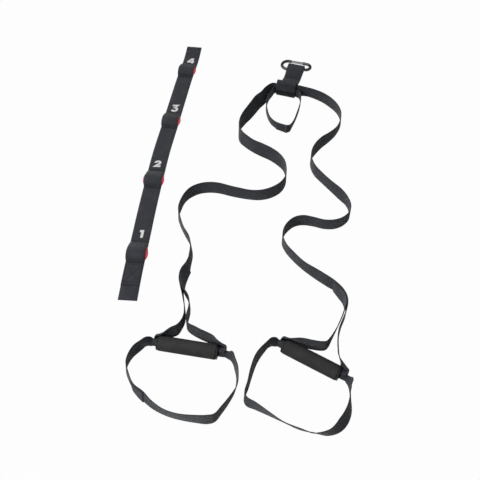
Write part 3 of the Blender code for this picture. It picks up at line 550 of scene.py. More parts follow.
def foam_look():
    """Closed-cell foam: fine pits, and slightly shiny where hands rub it."""
    look = Shading("foam", 0.9, specular=0.3)
    cells = look.add("TexVoronoi", {"Vector": look.spot, "Scale": 1500.0})
    pits = look.smooth(cells.outputs["Distance"], 0.1, 0.6)
    fine = look.noise(3500.0)
    height = look.math("ADD", look.scaled(pits, -0.7), fine)
    worn = look.smooth(look.noise(60.0, 3.0), 0.4, 0.7)
    plain = look.mix(look.math("ADD", look.scaled(fine, 0.8), look.scaled(pits, 0.2)),
                     (0.030, 0.030, 0.030), (0.060, 0.060, 0.059))
    colour = look.mix(look.scaled(worn, 0.3), plain, (0.066, 0.066, 0.065))
    return look.finish(colour, height, 0.00018, look.math("MULTIPLY_ADD", worn, -0.12, 0.92))


def plastic_look():
    look = Shading("moulded_plastic", 0.5, specular=0.4)
    scuffs = look.smooth(look.noise(240.0, 4.0), 0.5, 0.75)
    colour = look.mix(look.scaled(scuffs, 0.5), (0.020, 0.020, 0.021), (0.055, 0.055, 0.056))
    return look.finish(colour, look.noise(2200.0), 0.00006, look.math("MULTIPLY_ADD", scuffs, 0.2, 0.42))


def metal_look(name, dark, light, bare, metallic, roughness):
    """Coated or brushed metal: fine grain, and bare metal where it rubs."""
    look = Shading(name, roughness, metallic=metallic)
    stretched = look.add("Mapping", {"Vector": look.spot, "Scale": (1.0, 6.0, 1.0)})
    grain = look.noise(700.0, 3.0, stretched.outputs[0])
    blotches = look.smooth(look.noise(220.0, 4.0), 0.56, 0.78)
    colour = look.mix(look.scaled(blotches, 0.6), look.mix(grain, dark, light), bare)
    return look.finish(colour, grain, 0.00004, look.math("MULTIPLY_ADD", grain, 0.2, roughness - 0.1))


def thread_look(name, colour, variation=1.8):
    look = Shading(name, 0.6, specular=0.4)
    look.feed_all(look.shader, {"Sheen Weight": 0.3})
    twist = look.noise(3000.0)
    return look.finish(look.mix(twist, colour, tuple(c * variation for c in colour)), twist, 0.0001)


WEBBING = woven("webbing_charcoal", (0.022, 0.025, 0.031), (0.062, 0.067, 0.081), (0.080, 0.085, 0.099))
# Near-black webbing that paints the shade on the lower front of the sleeve
PAINTED_SHADE_WEB = woven("webbing_painted_shade", (0.004, 0.004, 0.005), (0.012, 0.012, 0.014), (0.030, 0.030, 0.033), sheen=0.05)
RED = woven("lining_red_tape", (0.56, 0.050, 0.085), (0.84, 0.125, 0.185), (0.90, 0.27, 0.33), 0.0011, 0.0030)
FOAM = foam_look()
PLASTIC = plastic_look()
DARK_METAL = metal_look("hook_coated_steel", (0.075, 0.075, 0.080), (0.135, 0.135, 0.142), (0.34, 0.34, 0.35),
                        0.75, 0.36)
BRIGHT_METAL = metal_look("gate_bright_steel", (0.34, 0.34, 0.35), (0.44, 0.44, 0.45), (0.50, 0.50, 0.51),
                          0.9, 0.50)
THREAD = thread_look("thread_grey", (0.040, 0.042, 0.048))
LIGHT_THREAD = thread_look("thread_light_grey", (0.150, 0.152, 0.158), 1.3)
# Black thread, also drawn thick at the extender ply's end as painted shadow
BLACK_THREAD_AND_SHADOW = thread_look("thread_black_and_painted_shadow", (0.006, 0.006, 0.007))
PRINT = thread_look("print_white", (0.86, 0.86, 0.86), 1.12)


# Pieces
def make_object(name, vertices, faces, look, smooth=True, sharp=None):
    """A mesh object. Edges that turn by more than sharp, in degrees, stay sharp in the shading."""
    mesh = bpy.data.meshes.new(name)
    mesh.from_pydata([tuple(v) for v in vertices], [], faces)
    mesh.materials.append(look)
    if smooth:
        mesh.shade_smooth()
    if sharp:
        mesh.set_sharp_from_angle(angle=radians(sharp))
    return add_object(name, mesh)


def ring(centre, across, upward, radius, sides):
    """Points of a circle round a centre."""
    return [centre + across * (radius * cos(a)) + upward * (radius * sin(a))
            for a in spread(0, 2 * pi, sides)[:-1]]


def arc(x, y, rx, ry, start, end, steps=14):
    """Points of an ellipse from one angle to another, in degrees."""
    return [(x + rx * cos(a), y + ry * sin(a))
            for a in spread(radians(start), radians(end), steps)]


def ring_faces(rings, size, start=0, wrap=False):
    """Faces between rings of points of one size. wrap joins the last ring to the first."""
    faces = []
    for k in range(rings if wrap else rings - 1):
        low, high = start + k * size, start + (k + 1) % rings * size
        for j in range(size):
            m = (j + 1) % size
            faces.append((low + j, low + m, high + m, high + j))
    return faces


def cap_faces(rings, size, start=0):
    """The two flat ends of a row of rings."""
    last = start + (rings - 1) * size
    return [tuple(range(start + size - 1, start - 1, -1)), tuple(range(last, last + size))]


def place(piece, body, slot, *nodes):
    """Says which body the piece moves with, and hides the CAD nodes that it stands for. slot, its material slot, is
    not used.
    """
    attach(piece, body)
    if nodes:
        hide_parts(*nodes)
    return piece


EDGE_ANGLES = (54, 18, -18, -54)
# Steps across a strap that lies flat, that bends along its length, and that also curls
FLAT_ACROSS, BENT_ACROSS, CURLED_ACROSS = 4, 6, 14


class Strap:
    """A strap of webbing through its sections, with rounded selvedges, and a way to find places on it."""

    def __init__(self, sections, width=STRAP_WIDTH, thickness=WEB, closed=False, across_steps=FLAT_ACROSS):
        self.sections = [sections[0]]
        for section in sections[1:]:
            if (section.middle - self.sections[-1].middle).length > CLOSEST_SECTIONS:
                self.sections.append(section)
        if closed and (self.sections[-1].middle - self.sections[0].middle).length > TINY:
            self.sections.append(self.sections[0])
        self.width, self.thickness, self.closed, self.across_steps = width, thickness, closed, across_steps
        self.run = distances([s.middle for s in self.sections])

    def place_at(self, distance, offset, height):
        """A point at this distance along the strap and offset across it, raised from its middle surface."""
        k, share = locate(self.run, distance)
        a, b = self.sections[k - 1], self.sections[k]
        start, end = a.point(offset), b.point(offset)
        normal = a.tangent(offset).cross(end - start).normalized()
        return start.lerp(end, share) + normal * height

    def make(self, name, look):
        inner = self.width / 2 - self.thickness * 0.5
        count = self.across_steps + 1
        flats = spread(-inner, inner, self.across_steps)
        edge = [(inner + self.thickness * 0.5 * cos(a), sin(a)) for a in map(radians, EDGE_ANGLES)]
        profile = [(o, 1.0) for o in flats] + edge + [(o, -1.0) for o in flats[::-1]]
        profile += [(-o, -s) for o, s in edge]
        size = len(profile)
        points = np.array([[s.point(o) for o, _ in profile] for s in self.sections])
        across = np.array([[s.tangent(o) for o, _ in profile] for s in self.sections])
        along = np.gradient(points, axis=0)
        if self.closed:
            along[0] = along[-1] = points[1] - points[-2]
        normals = np.cross(across, along)
        normals /= np.linalg.norm(normals, axis=2, keepdims=True)
        raised = np.array([h for _, h in profile]) * self.thickness / 2
        points += normals * raised[None, :, None]
        faces = ring_faces(len(self.sections), size)
        if not self.closed:
            for base, turn in ((0, -1), ((len(self.sections) - 1) * size, 1)):
                half = count + len(edge)
                for j in range(count - 1):
                    far = half + count - 1 - j
                    faces.append(tuple(base + i for i in (j, j + 1, far - 1, far))[::turn])
                faces.append(tuple(base + i for i in range(count - 1, half + 1))[::turn])
                faces.append(tuple(base + i % size for i in range(half + count - 1, size + 1))[::turn])
        made = make_object(name, points.reshape(-1, 3), faces, look)
        web, edges = made.data.uv_layers.new(name="web"), made.data.uv_layers.new(name="edge")
        index = np.empty(len(made.data.loops), dtype=int)
        made.data.loops.foreach_get("vertex_index", index)
        offsets = np.array([o for o, _ in profile])[index % size]
        run = np.array(self.run)[index // size]
        web.data.foreach_set("uv", np.stack([offsets, run], axis=1).ravel())
        near = np.clip(self.width / 2 - np.abs(offsets), 0, None)
        edges.data.foreach_set("uv", np.stack([near, np.zeros_like(near)], axis=1).ravel())
        return made

    def lay(self, name, body, *nodes, look=WEBBING, slot="webbing"):
        """Makes the strap's piece and says where it belongs."""
        return place(self.make(name, look), body, slot, *nodes)

    def stretch(self, start, end, height, steps=12):
        """Sections of a shorter strap that lies on this one."""
        made = []
        for distance in spread(start, end, steps):
            middle = self.place_at(distance, 0.0, height)
            low, high = (self.place_at(distance, o, height) for o in (-self.width / 2, self.width / 2))
            across = (high - low).normalized()
            made.append(Section(middle, across, across.cross(UP)))
        return made


THREAD_RADIUS = 0.00032
THREAD_SUNK = 0.0001
THREAD_SIDES = 6
PROBE = 0.001
# Rings of a stitch: the share of its length, its rise and its girth
STITCH_RINGS = ((0.0, 0.0, 0.5), (0.2, 0.9, 1.0), (0.8, 0.9, 1.0), (1.0, 0.0, 0.5))


def sew(name, strap, lines, side, body, height=None, look=None, girth=1.0):
    """Stitches along lines on one side of a strap: each line is two places, given along and across it."""
    vertices, faces = [], []
    radius = THREAD_RADIUS * girth
    level = (strap.thickness / 2 if height is None else height)
    for (s1, u1), (s2, u2) in lines:
        a = strap.place_at(s1, u1, side * (level - THREAD_SUNK))
        b = strap.place_at(s2, u2, side * (level - THREAD_SUNK))
        over, under = (strap.place_at((s1 + s2) / 2, (u1 + u2) / 2, side * h) for h in (level + PROBE, level))
        out = (over - under).normalized()
        wide = (b - a).normalized().cross(out)
        base = len(vertices)
        for share, lift, fullness in STITCH_RINGS:
            centre = a.lerp(b, share) + out * (lift * THREAD_RADIUS)
            vertices += ring(centre, wide, out, radius * fullness, THREAD_SIDES)
        faces += ring_faces(len(STITCH_RINGS), THREAD_SIDES, base) + cap_faces(len(STITCH_RINGS), THREAD_SIDES, base)
    return place(make_object(name, vertices, faces, look or THREAD), body, "webbing")


def row(start, end, pitch=0.0034, gap=0.0006):
    """A row of stitches from one place on a strap to another."""
    length = math.dist(start, end)
    count = max(1, round(length / pitch))
    made = []
    for k in range(count):
        t0, t1 = k / count, (k + 1) / count - gap / length
        made.append(tuple(tuple(a + (b - a) * t for a, b in zip(start, end)) for t in (t0, t1)))
    return made


def box_stitch(s1, s2, half, cross=True):
    """A box of stitches from one distance to another, evenly on both sides of the middle line."""
    corners = [(s1, -half), (s2, -half), (s2, half), (s1, half)]
    lines = sum((row(corners[k - 1], corners[k]) for k in (1, 2, 3, 0)), [])
    if cross:
        lines += row(corners[0], corners[2]) + row(corners[1], corners[3])
    return lines


def bar_tack(s, half, wide=0.0016, pitch=0.0011):
    """A close zigzag across a strap."""
    spots = [(s + (wide / 2 if k % 2 else -wide / 2), u)
             for k, u in enumerate(spread(-half, half, round(2 * half / pitch)))]
    return list(zip(spots, spots[1:]))


TURNED_SHARP = 50
TURNED_SIDES, FOAM_SIDES, BAR_SIDES = 64, 72, 24


def turned(name, grip, profile, look, sides=TURNED_SIDES):
    """A ring-shaped piece round the grip's axis, from a profile of distance along it and radius."""
    vertices = []
    for out in ring(Vector(), grip.fork_side, UP, 1.0, sides):
        vertices += [grip.start + grip.along * d + out * r for d, r in profile]
    faces = [(a, d, c, b) for a, b, c, d in ring_faces(sides, len(profile), wrap=True)]
    return make_object(name, vertices, faces, look, sharp=TURNED_SHARP)


def sweep(path, radii, sides=BAR_SIDES):
    """Vertices and faces of a round bar along a path, with a radius for each of its points."""
    vertices = []
    for k, (point, radius) in enumerate(zip(path, radii)):
        forward = (path[min(k + 1, len(path) - 1)] - path[max(k - 1, 0)]).normalized()
        sideways = forward.cross(UP).normalized()
        vertices += ring(point, sideways, sideways.cross(forward), radius, sides)
    return vertices, ring_faces(len(path), sides) + cap_faces(len(path), sides)


def join(*parts):
    """One list of vertices and faces from several."""
    vertices, faces = [], []
    for some, their_faces in parts:
        base = len(vertices)
        vertices += some
        faces += [tuple(base + i for i in face) for face in their_faces]
    return vertices, faces


def plate(outline, low, high, frame_here, bevel=BEVEL):
    """Vertices and faces of a flat plate with bevelled rims, from its outline."""
    centre = [sum(c) / len(outline) for c in zip(*outline)]
    vertices = []
    for z, inset in ((low, bevel), (low + bevel, 0.0), (high - bevel, 0.0), (high, bevel)):
        for x, y in outline:
            way = Vector((x - centre[0], y - centre[1]))
            shrunk = way * (1 - inset / max(way.length, TINY))
            vertices.append(frame_here @ Vector((centre[0] + shrunk.x, centre[1] + shrunk.y, z)))
    return vertices, cap_faces(4, len(outline)) + ring_faces(4, len(outline))


# Webbing that runs on through the places where the straps flex
SEAM_MARGIN = 0.004
SEAM_REACH = 0.005
SEAM_STEP = 0.0002


def seam(name, sections, width):
    """A short inner length of webbing that closes the gap at a flexing place."""
    piece = Strap(sections, width - 2 * SEAM_STEP, WEB - SEAM_STEP).make(name, WEBBING)
    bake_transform(piece)


def overlap(name, strap, start, end, width, body):
    """A second ply sewn on the outer side of a strap."""
    patch = Strap(strap.stretch(start, end, -PLY), width)
    patch.lay(name, body)


def head(strap):
    """The first few sections of a strap."""
    return [s for s, d in zip(strap.sections, strap.run) if d < SEAM_REACH]


def sleeve_seam(name, sections, width):
    """The seam between the webbing inside the sleeve and a strap's sections, of which the first is at the mouth."""
    first, outward = sections[0], (sections[1].middle - sections[0].middle).normalized()
    inside = Section(first.middle - outward * SEAM_REACH, first.across, first.side)
    edge = Section(first.middle - outward * FLEX_GAP, first.across, first.side)
    seam(name, [inside, edge] + sections, width)


# Legs: the two free ends of the main strap, which are the part's cords
# How much of its height the left leg loses at the sleeve, as a share, and over what length
PINCH = (0.2, 0.045)


def pinch(sections, share, length):
    """Narrows a standing strap from its upper edge at its start, where it is squeezed into the sleeve."""
    run = distances([s.middle for s in sections])
    for section, along in zip(sections, run):
        loss = share * ease(1 - along / length)
        section.middle -= section.across * (STRAP_WIDTH / 2 * loss)
        section.across *= 1 - loss


def legs():
    made = {}
    for side, route, fork, x_sign in (("left", LEFT_LEG, LEFT_FORK, -1), ("right", RIGHT_LEG, RIGHT_FORK, 1)):
        sections = standing(mouth(x_sign, MAIN_OFFSET) + route + [fork], lifts=(STRAP_LIFT, 0.0))
        if side == "left":
            pinch(sections, *PINCH)
        leg = Strap(sections)
        piece = leg.lay(side + "_leg_webbing", side + "_leg", side + "_leg_strap")
        sleeve_seam(side + "_leg_seam", head(leg), STRAP_WIDTH)
        made[side] = leg
    return made


LEGS = legs()


# Anchor strap, sleeve and stabiliser loop
# Radii of the anchor strap's bends
UNDER_BEND, HUMP_BEND, EYE_FAR_BEND, EYE_NEAR_BEND, MEETING_BEND = 0.002, 0.004, 0.005, 0.008, 0.012
EYE_TAPER = 0.013
# The eye's stitches: how far behind the eye, and how long their box is
EYE_SETBACK, EYE_BOX, EYE_NEARNESS, EYE_SEARCH = 0.016, 0.012, 0.002, 399
# The sleeve's rows of stitches: distances from its edges, and their pitch
HEM, SECOND_HEM, HEM_END, HEM_PITCH = 0.003, 0.0055, 0.004, 0.003
SHADE_PANEL_INSET = 0.001
STABILISER_OVERLAP, STABILISER_MARGIN, STABILISER_INSET, STABILISER_BAR = (0.148, 0.179), 0.003, 0.002, 0.004
MIDDLE_STEPS = 12


def anchor():
    side, low, high = LOOP_HALF_DEPTH, WEB / 2, WEB / 2 + PLY
    top = STRAP_LIFT + STRAP_WIDTH + PLY - WEB / 2
    slope = math.atan2(LEAVE_HEIGHT - low, LAND_DISTANCE - side)
    eye_top = HOOK_HEIGHT + BAR + GAP + WEB
    near, far = SPINE_DISTANCE - EYE_NEAR, SPINE_DISTANCE + EYE_FAR
    under = [(-side, low, UNDER_BEND), (side, low, UNDER_BEND), (side, LEAVE_HEIGHT, HUMP_BEND),
             (LAND_DISTANCE, low, LAND_RADIUS)]
    fold = [(far, low, EYE_FAR_BEND), (far, eye_top, EYE_FAR_BEND), (near, eye_top, EYE_NEAR_BEND),
            (near - EYE_TAPER, high, MEETING_BEND)]
    over = [(LAND_DISTANCE + PLY * math.tan(slope / 2), high, LAND_RADIUS - PLY),
            (side, LEAVE_HEIGHT + PLY / cos(slope), HUMP_BEND), (side, top, UNDER_BEND),
            (-side, top, UNDER_BEND)]
    strap = Strap(band_sections(under + fold + over, True), ANCHOR_WIDTH, closed=True, across_steps=BENT_ACROSS)
    strap.lay("anchor_webbing", "anchor", "anchor_strap")

    out, crown = side + PLY, top + PLY
    cover = [(-out, SLEEVE_HEM, 0), (-out, crown, HUMP_BEND), (out, crown, HUMP_BEND), (out, SLEEVE_BACK_HEM, 0)]
    sleeve = Strap(band_sections(cover, False), SLEEVE_WIDTH, across_steps=BENT_ACROSS)
    sleeve.lay("sleeve_webbing", "anchor", "anchor_sleeve")
    # A thin near-black sheet on the sleeve's lower front: painted shade below its lit roll
    panel = Strap(sleeve.stretch(*SHADE_PANEL_SPAN, (WEB + SHADE_PANEL_THICKNESS) / 2), SLEEVE_WIDTH - SHADE_PANEL_INSET, SHADE_PANEL_THICKNESS)
    panel.lay("sleeve_painted_shade_panel", "anchor", look=PAINTED_SHADE_WEB)
    end, edge = sleeve.run[-1], SLEEVE_WIDTH / 2
    hems = []
    for u in (HEM - edge, edge - HEM):
        hems += row((HEM, u), (end - HEM, u), HEM_PITCH)
    for s in (HEM, SECOND_HEM, end - HEM):
        hems += row((s, HEM_END - edge), (s, edge - HEM_END), HEM_PITCH)
    sew("sleeve_stitches", sleeve, hems, 1, "anchor")

    back = Strap(strap.sections, ANCHOR_WIDTH)
    upper = []
    for distance in spread(0, back.run[-1], EYE_SEARCH):
        spot = SLEEVE_FRAME.inverted() @ back.place_at(distance, 0, 0)
        if abs(spot.y - (near - EYE_SETBACK)) < EYE_NEARNESS and spot.z > (low + high) / 2:
            upper.append(distance)
    eye = upper[len(upper) // 2]
    half = ANCHOR_WIDTH / 2 - SEAM_MARGIN
    sew("eye_stitches", back, box_stitch(eye, eye + EYE_BOX, half), -1, "anchor", look=BLACK_THREAD_AND_SHADOW, girth=1.6)

    for name, offset, width, node in (("main_strap_middle", MAIN_OFFSET, STRAP_WIDTH, "main_strap_centre"),
                                      ("stabiliser_middle", STABILISER_OFFSET, STABILISER_WIDTH,
                                       "stabiliser_centre")):
        side_way = SLEEVE_FRAME.to_3x3() @ Vector((0, 1, 0))
        ends = [Section(sleeve_point(x, offset, STRAP_LIFT + width / 2), UP, side_way)
                for x in spread(-SLEEVE_WIDTH / 2, SLEEVE_WIDTH / 2, MIDDLE_STEPS)]
        Strap(ends, width).lay(name, "anchor", node)


def stabiliser():
    loop = mouth(-1, STABILISER_OFFSET) + STABILISER + mouth(1, STABILISER_OFFSET)[::-1]
    strap = Strap(standing(loop, STABILISER_WIDTH, (STRAP_LIFT, STRAP_LIFT)), STABILISER_WIDTH)
    strap.lay("stabiliser_webbing", "stabiliser", "stabiliser_loop")
    start, end = STABILISER_OVERLAP
    overlap("stabiliser_overlap", strap, start, end, STABILISER_WIDTH, "stabiliser")
    half = STABILISER_WIDTH / 2 - STABILISER_MARGIN
    lines = box_stitch(start + STABILISER_INSET, end - STABILISER_INSET, half, cross=False)
    lines += bar_tack(end - STABILISER_BAR, half)
    sew("stabiliser_stitches", strap, lines, -1, "stabiliser", height=WEB / 2 + PLY, look=LIGHT_THREAD)
    sew("stabiliser_back_stitches", strap, lines, 1, "stabiliser")
    sleeve_seam("stabiliser_seam_left", head(strap), STABILISER_WIDTH)
    turned_round = Strap(strap.sections[::-1], STABILISER_WIDTH)
    sleeve_seam("stabiliser_seam_right", head(turned_round), STABILISER_WIDTH)


anchor()
stabiliser()


# Handles
FOAM_STEPS = 24
YOKE_BOX, YOKE_BAR = (0.004, 0.040), 0.044
CRADLE_OVERLAP, CRADLE_INSET = (0.118, 0.150), 0.003


def handle(side, mouths, fork, out_route, back_route, cradle_route, first, reaches, skips):
    grip = Grip(mouths)
    body = side + "_grip"
    inner = TUBE_OUTER + GAP
    near, far = RING_LENGTH + GAP, GRIP_LENGTH - RING_LENGTH - GAP
    outer = [(d, FOAM_RADIUS + FOAM_SWELL * sin(a)) for d, a in
             zip(spread(near + FOAM_ROUND, far - FOAM_ROUND, FOAM_STEPS), spread(0, pi, FOAM_STEPS))]
    left = arc(near + FOAM_ROUND, FOAM_RADIUS - FOAM_ROUND, -FOAM_ROUND, FOAM_ROUND, 0, 75, 5)
    right = [(GRIP_LENGTH - d, r) for d, r in left[::-1]]
    loop = [(near, inner)] + left + outer + right + [(far, inner), ((near + far) / 2, inner)]
    foam = turned(side + "_foam", grip, loop, FOAM, FOAM_SIDES)
    place(foam, body, "foam", side + "_grip_foam")

    low, high = GAP, GRIP_LENGTH - GAP
    wall = [(low, TUBE_INNER + BEVEL), (low + BEVEL, TUBE_INNER), (high - BEVEL, TUBE_INNER),
            (high, TUBE_INNER + BEVEL), (high, TUBE_OUTER - BEVEL), (high - BEVEL, TUBE_OUTER),
            (low + BEVEL, TUBE_OUTER), (low, TUBE_OUTER - BEVEL)]
    place(turned(side + "_tube", grip, wall, PLASTIC), body, "tube_plastic", side + "_grip_tube")
    for name, start in (("left", 0.0), ("right", GRIP_LENGTH - RING_LENGTH)):
        end = start + RING_LENGTH
        rim = [spot for x, turn in ((end - RING_ROUND, 0), (start + RING_ROUND, 90))
               for spot in arc(x, RING_RADIUS - RING_ROUND, RING_ROUND, RING_ROUND, turn, turn + 90, 4)]
        piece = turned(side + "_ring_" + name, grip, [(start, inner), (end, inner)] + rim, PLASTIC)
        place(piece, body, "tube_plastic", side + "_grip_ring_" + name)

    sense = 1 if first == 0 else -1
    yoke = Strap(yoke_sections(grip, fork, out_route, back_route, first, reaches[::sense], skips[::sense]),
                 across_steps=CURLED_ACROSS)
    yoke.lay(side + "_yoke_webbing", side + "_yoke", side + "_yoke_strap")
    leg_end = head(Strap(LEGS[side].sections[::-1]))[::-1]
    seam(side + "_fork_seam", leg_end + head(yoke), STRAP_WIDTH)
    half = STRAP_WIDTH / 2 - SEAM_MARGIN
    length = yoke.run[-1]
    for name, (start, end, bar) in (("_fork_stitches", (*YOKE_BOX, YOKE_BAR)),
                                    ("_fork_back_stitches", [length - d for d in (*YOKE_BOX[::-1], YOKE_BAR)])):
        sew(side + name, yoke, box_stitch(start, end, half) + bar_tack(bar, half), sense,
            side + "_yoke")

    cradle = Strap(cradle_sections(grip, cradle_route, reaches), closed=True, across_steps=CURLED_ACROSS)
    cradle.lay(side + "_cradle_webbing", side + "_cradle", side + "_foot_cradle")
    return cradle


def handles():
    cradle = handle("left", LEFT_GRIP, LEFT_FORK, LEFT_YOKE_OUT, LEFT_YOKE_BACK, LEFT_CRADLE, 0, LEFT_REACHES,
                    LEFT_SKIPS)
    handle("right", RIGHT_GRIP, RIGHT_FORK, RIGHT_YOKE_OUT, RIGHT_YOKE_BACK, RIGHT_CRADLE, GRIP_LENGTH,
           RIGHT_REACHES, RIGHT_SKIPS)
    start, end = CRADLE_OVERLAP
    half = STRAP_WIDTH / 2 - SEAM_MARGIN
    overlap("left_cradle_overlap", cradle, start, end, STRAP_WIDTH, "left_cradle")
    lines = box_stitch(start + CRADLE_INSET, end - CRADLE_INSET, half)
    sew("left_cradle_stitches", cradle, lines, -1, "left_cradle", height=WEB / 2 + PLY)


handles()


# Snap hook
NARROW_STEPS, WIDE_STEPS = 28, 40
BUTT, BUTT_GIRTHS, NOSE_GIRTHS = (0.0010, 0.0006), (0.8, 0.95), (0.95, 0.82)
HOOK_SHARP = 45
CHEEK_REACH, CHEEK_SIDE = 0.0062, 0.92
# Places along the gate and the girth there
GATE_RINGS = ((0.0042, 0.72), (0.0046, 0.90), (0.0056, 1.0), (0.010, 1.0), (0.020, 1.0), (0.030, 1.0),
              (GATE_LENGTH - 0.0012, 1.0), (GATE_LENGTH - 0.0004, 0.92), (GATE_LENGTH, 0.78))
# Heights on the rivet and the girth there
RIVET_RINGS = ((-0.0036, 0.5), (-0.0034, 1.2), (-0.0030, 1.45), (0.0, 1.0), (0.0030, 1.45), (0.0034, 1.2),
               (0.0036, 0.5))
RIVET_SIDES = 20


def snap_hook():
    taper = math.degrees(math.asin((WIDE_RADIUS - NARROW_RADIUS) / (NARROW_END - WIDE_END)))
    spine = arc(NARROW_END, 0, NARROW_RADIUS, NARROW_RADIUS, 90 - taper, taper - 90, NARROW_STEPS)
    spine += arc(WIDE_END, 0, WIDE_RADIUS, WIDE_RADIUS, taper - 90, -270 - taper, WIDE_STEPS)
    spine = [Vector((x, y, 0)) for x, y in spine]
    gate_start = spine[0]
    gate_way = (spine[-1] - gate_start).normalized()
    pin = gate_start + gate_way * PIN_SETBACK
    tip = pin + gate_way * (GATE_LENGTH + NOSE_GAP)
    outline = [gate_start + gate_way * x for x in BUTT] + spine
    outline += [spine[-1].lerp(tip, 0.5), tip + gate_way * NOSE_GAP, tip]
    radii = [BAR * g for g in BUTT_GIRTHS] + [BAR] * (len(outline) - 4) + [BAR * g for g in NOSE_GIRTHS]
    body = sweep([HOOK_FRAME @ p for p in outline], radii)
    angle = math.atan2(gate_way.y, gate_way.x)
    gate_frame = HOOK_FRAME @ Matrix.Translation(pin) @ Matrix.Rotation(angle, 4, "Z")
    reach = PIN_SETBACK + BAR / 2
    tongue = [(-reach, TONGUE_RADIUS), (-reach, -TONGUE_RADIUS)] + arc(0, 0, TONGUE_RADIUS, TONGUE_RADIUS, -90, 90, 18)
    body = join(body, plate(tongue, -TONGUE / 2, TONGUE / 2, gate_frame))
    place(make_object("hook_bar", *body, DARK_METAL, sharp=HOOK_SHARP), "hook", "hook_metal", "snap_hook_body")

    low, high = TONGUE / 2 + GAP, GATE_BAR - BEVEL
    side = GATE_BAR * CHEEK_SIDE
    cheek = [(CHEEK_REACH, side)] + arc(0, 0, high, high, 90, 270, 18) + [(CHEEK_REACH, -side)]
    bar = sweep([gate_frame @ Vector((x, 0, 0)) for x, _ in GATE_RINGS], [GATE_BAR * g for _, g in GATE_RINGS])
    gate = join(bar, plate(cheek, low, high, gate_frame), plate(cheek, -high, -low, gate_frame))
    place(make_object("gate_bar", *gate, BRIGHT_METAL, sharp=HOOK_SHARP), "gate", "gate_metal", "snap_hook_gate")

    vertices = []
    x_way, y_way, _ = gate_frame.to_3x3().col
    for z, girth in RIVET_RINGS:
        vertices += ring(gate_frame @ Vector((0, 0, z)), x_way, y_way, PIN_RADIUS * girth, RIVET_SIDES)
    faces = ring_faces(len(RIVET_RINGS), RIVET_SIDES) + cap_faces(len(RIVET_RINGS), RIVET_SIDES)
    place(make_object("gate_rivet", vertices, faces, DARK_METAL), "hook", "hook_metal", "snap_hook_gate_pin")


snap_hook()
spring = bpy.data.objects["snap_hook_gate_spring"]
spring.data.materials.clear()
spring.data.materials.append(BRIGHT_METAL)


# Extender
NARROWEST_TURN = 0.5


def digit_strip(points, width, matrix, height):
    """A stroke of even width through points, as a thin raised strip."""
    flat = [Vector((*p, 0)) for p in points]
    vertices = []
    for k, point in enumerate(flat):
        before = (point - flat[k - 1]).normalized() if k else None
        after = (flat[k + 1] - point).normalized() if k < len(flat) - 1 else None
        first, second = left_of(before or after), left_of(after or before)
        normal = (first + second).normalized()
        reach = normal * (width / 2 / max(normal.dot(first), NARROWEST_TURN))
        vertices += [matrix @ (point + spot) for spot in (reach, reach + UP * height, UP * height - reach, -reach)]
    return vertices, ring_faces(len(flat), 4) + cap_faces(len(flat), 4)


# Middle lines of the digits' strokes in a box one wide and one high
DIGITS = {
    1: [[(0.00, 0.88), (0.72, 0.88), (0.72, 0.0)]],
    2: [arc(0.5, 0.66, 0.35, 0.22, 180, -40) + [(0.16, 0.12), (1.0, 0.12)]],
    3: [[(0.04, 0.90), (0.86, 0.90), (0.44, 0.60)] + arc(0.45, 0.34, 0.38, 0.24, 75, -165)],
    4: [[(0.74, 0.0), (0.74, 1.0)], [(0.66, 0.94), (0.14, 0.36)], [(0.0, 0.30), (1.0, 0.30)]],
}
# Each digit's lowest left corner on the strap, its width and its height
DIGIT_PLACES = {1: (-0.2010, -0.1138, 0.0088, 0.0209), 2: (-0.1845, 0.0985, 0.0162, 0.0205),
                3: (-0.1548, 0.2915, 0.0168, 0.0262), 4: (-0.1232, 0.4850, 0.0188, 0.0215)}
ITALIC = 0.10
STROKE = 0.0057
PRINT_HEIGHT, PRINT_STEP, PRINT_SUNK = 0.00022, 0.00004, 0.00005
GROUND_STEPS, TAIL_STEPS = 150, 12
FLAT_STEP = 0.006
# Distances of the stitches from the edges, the ply's ends and the loops' feet; the second is that of the black row
# that paints the ply end's shadow
EXTENDER_MARGIN, PLY_END_SHADOW_SETBACK, LOOP_BAR, FIRST_BOX, LAST_BOX = 0.003, 0.0012, 0.004, (0.008, 0.009), (0.034, 0.006)


def arch(angle):
    """A place on a loop at this angle along its arch: how far along the loop and how high, both as shares. The
    crest is nearer to its near foot, where it is steep, and its far side is gentle."""
    if angle < pi / 2:
        return CREST * (1 - cos(angle)), sin(angle) ** NEAR_RISE
    onward = max(-cos(angle), 0.0)
    return CREST + (1 - CREST) * onward, 1 - onward ** FAR_FALL


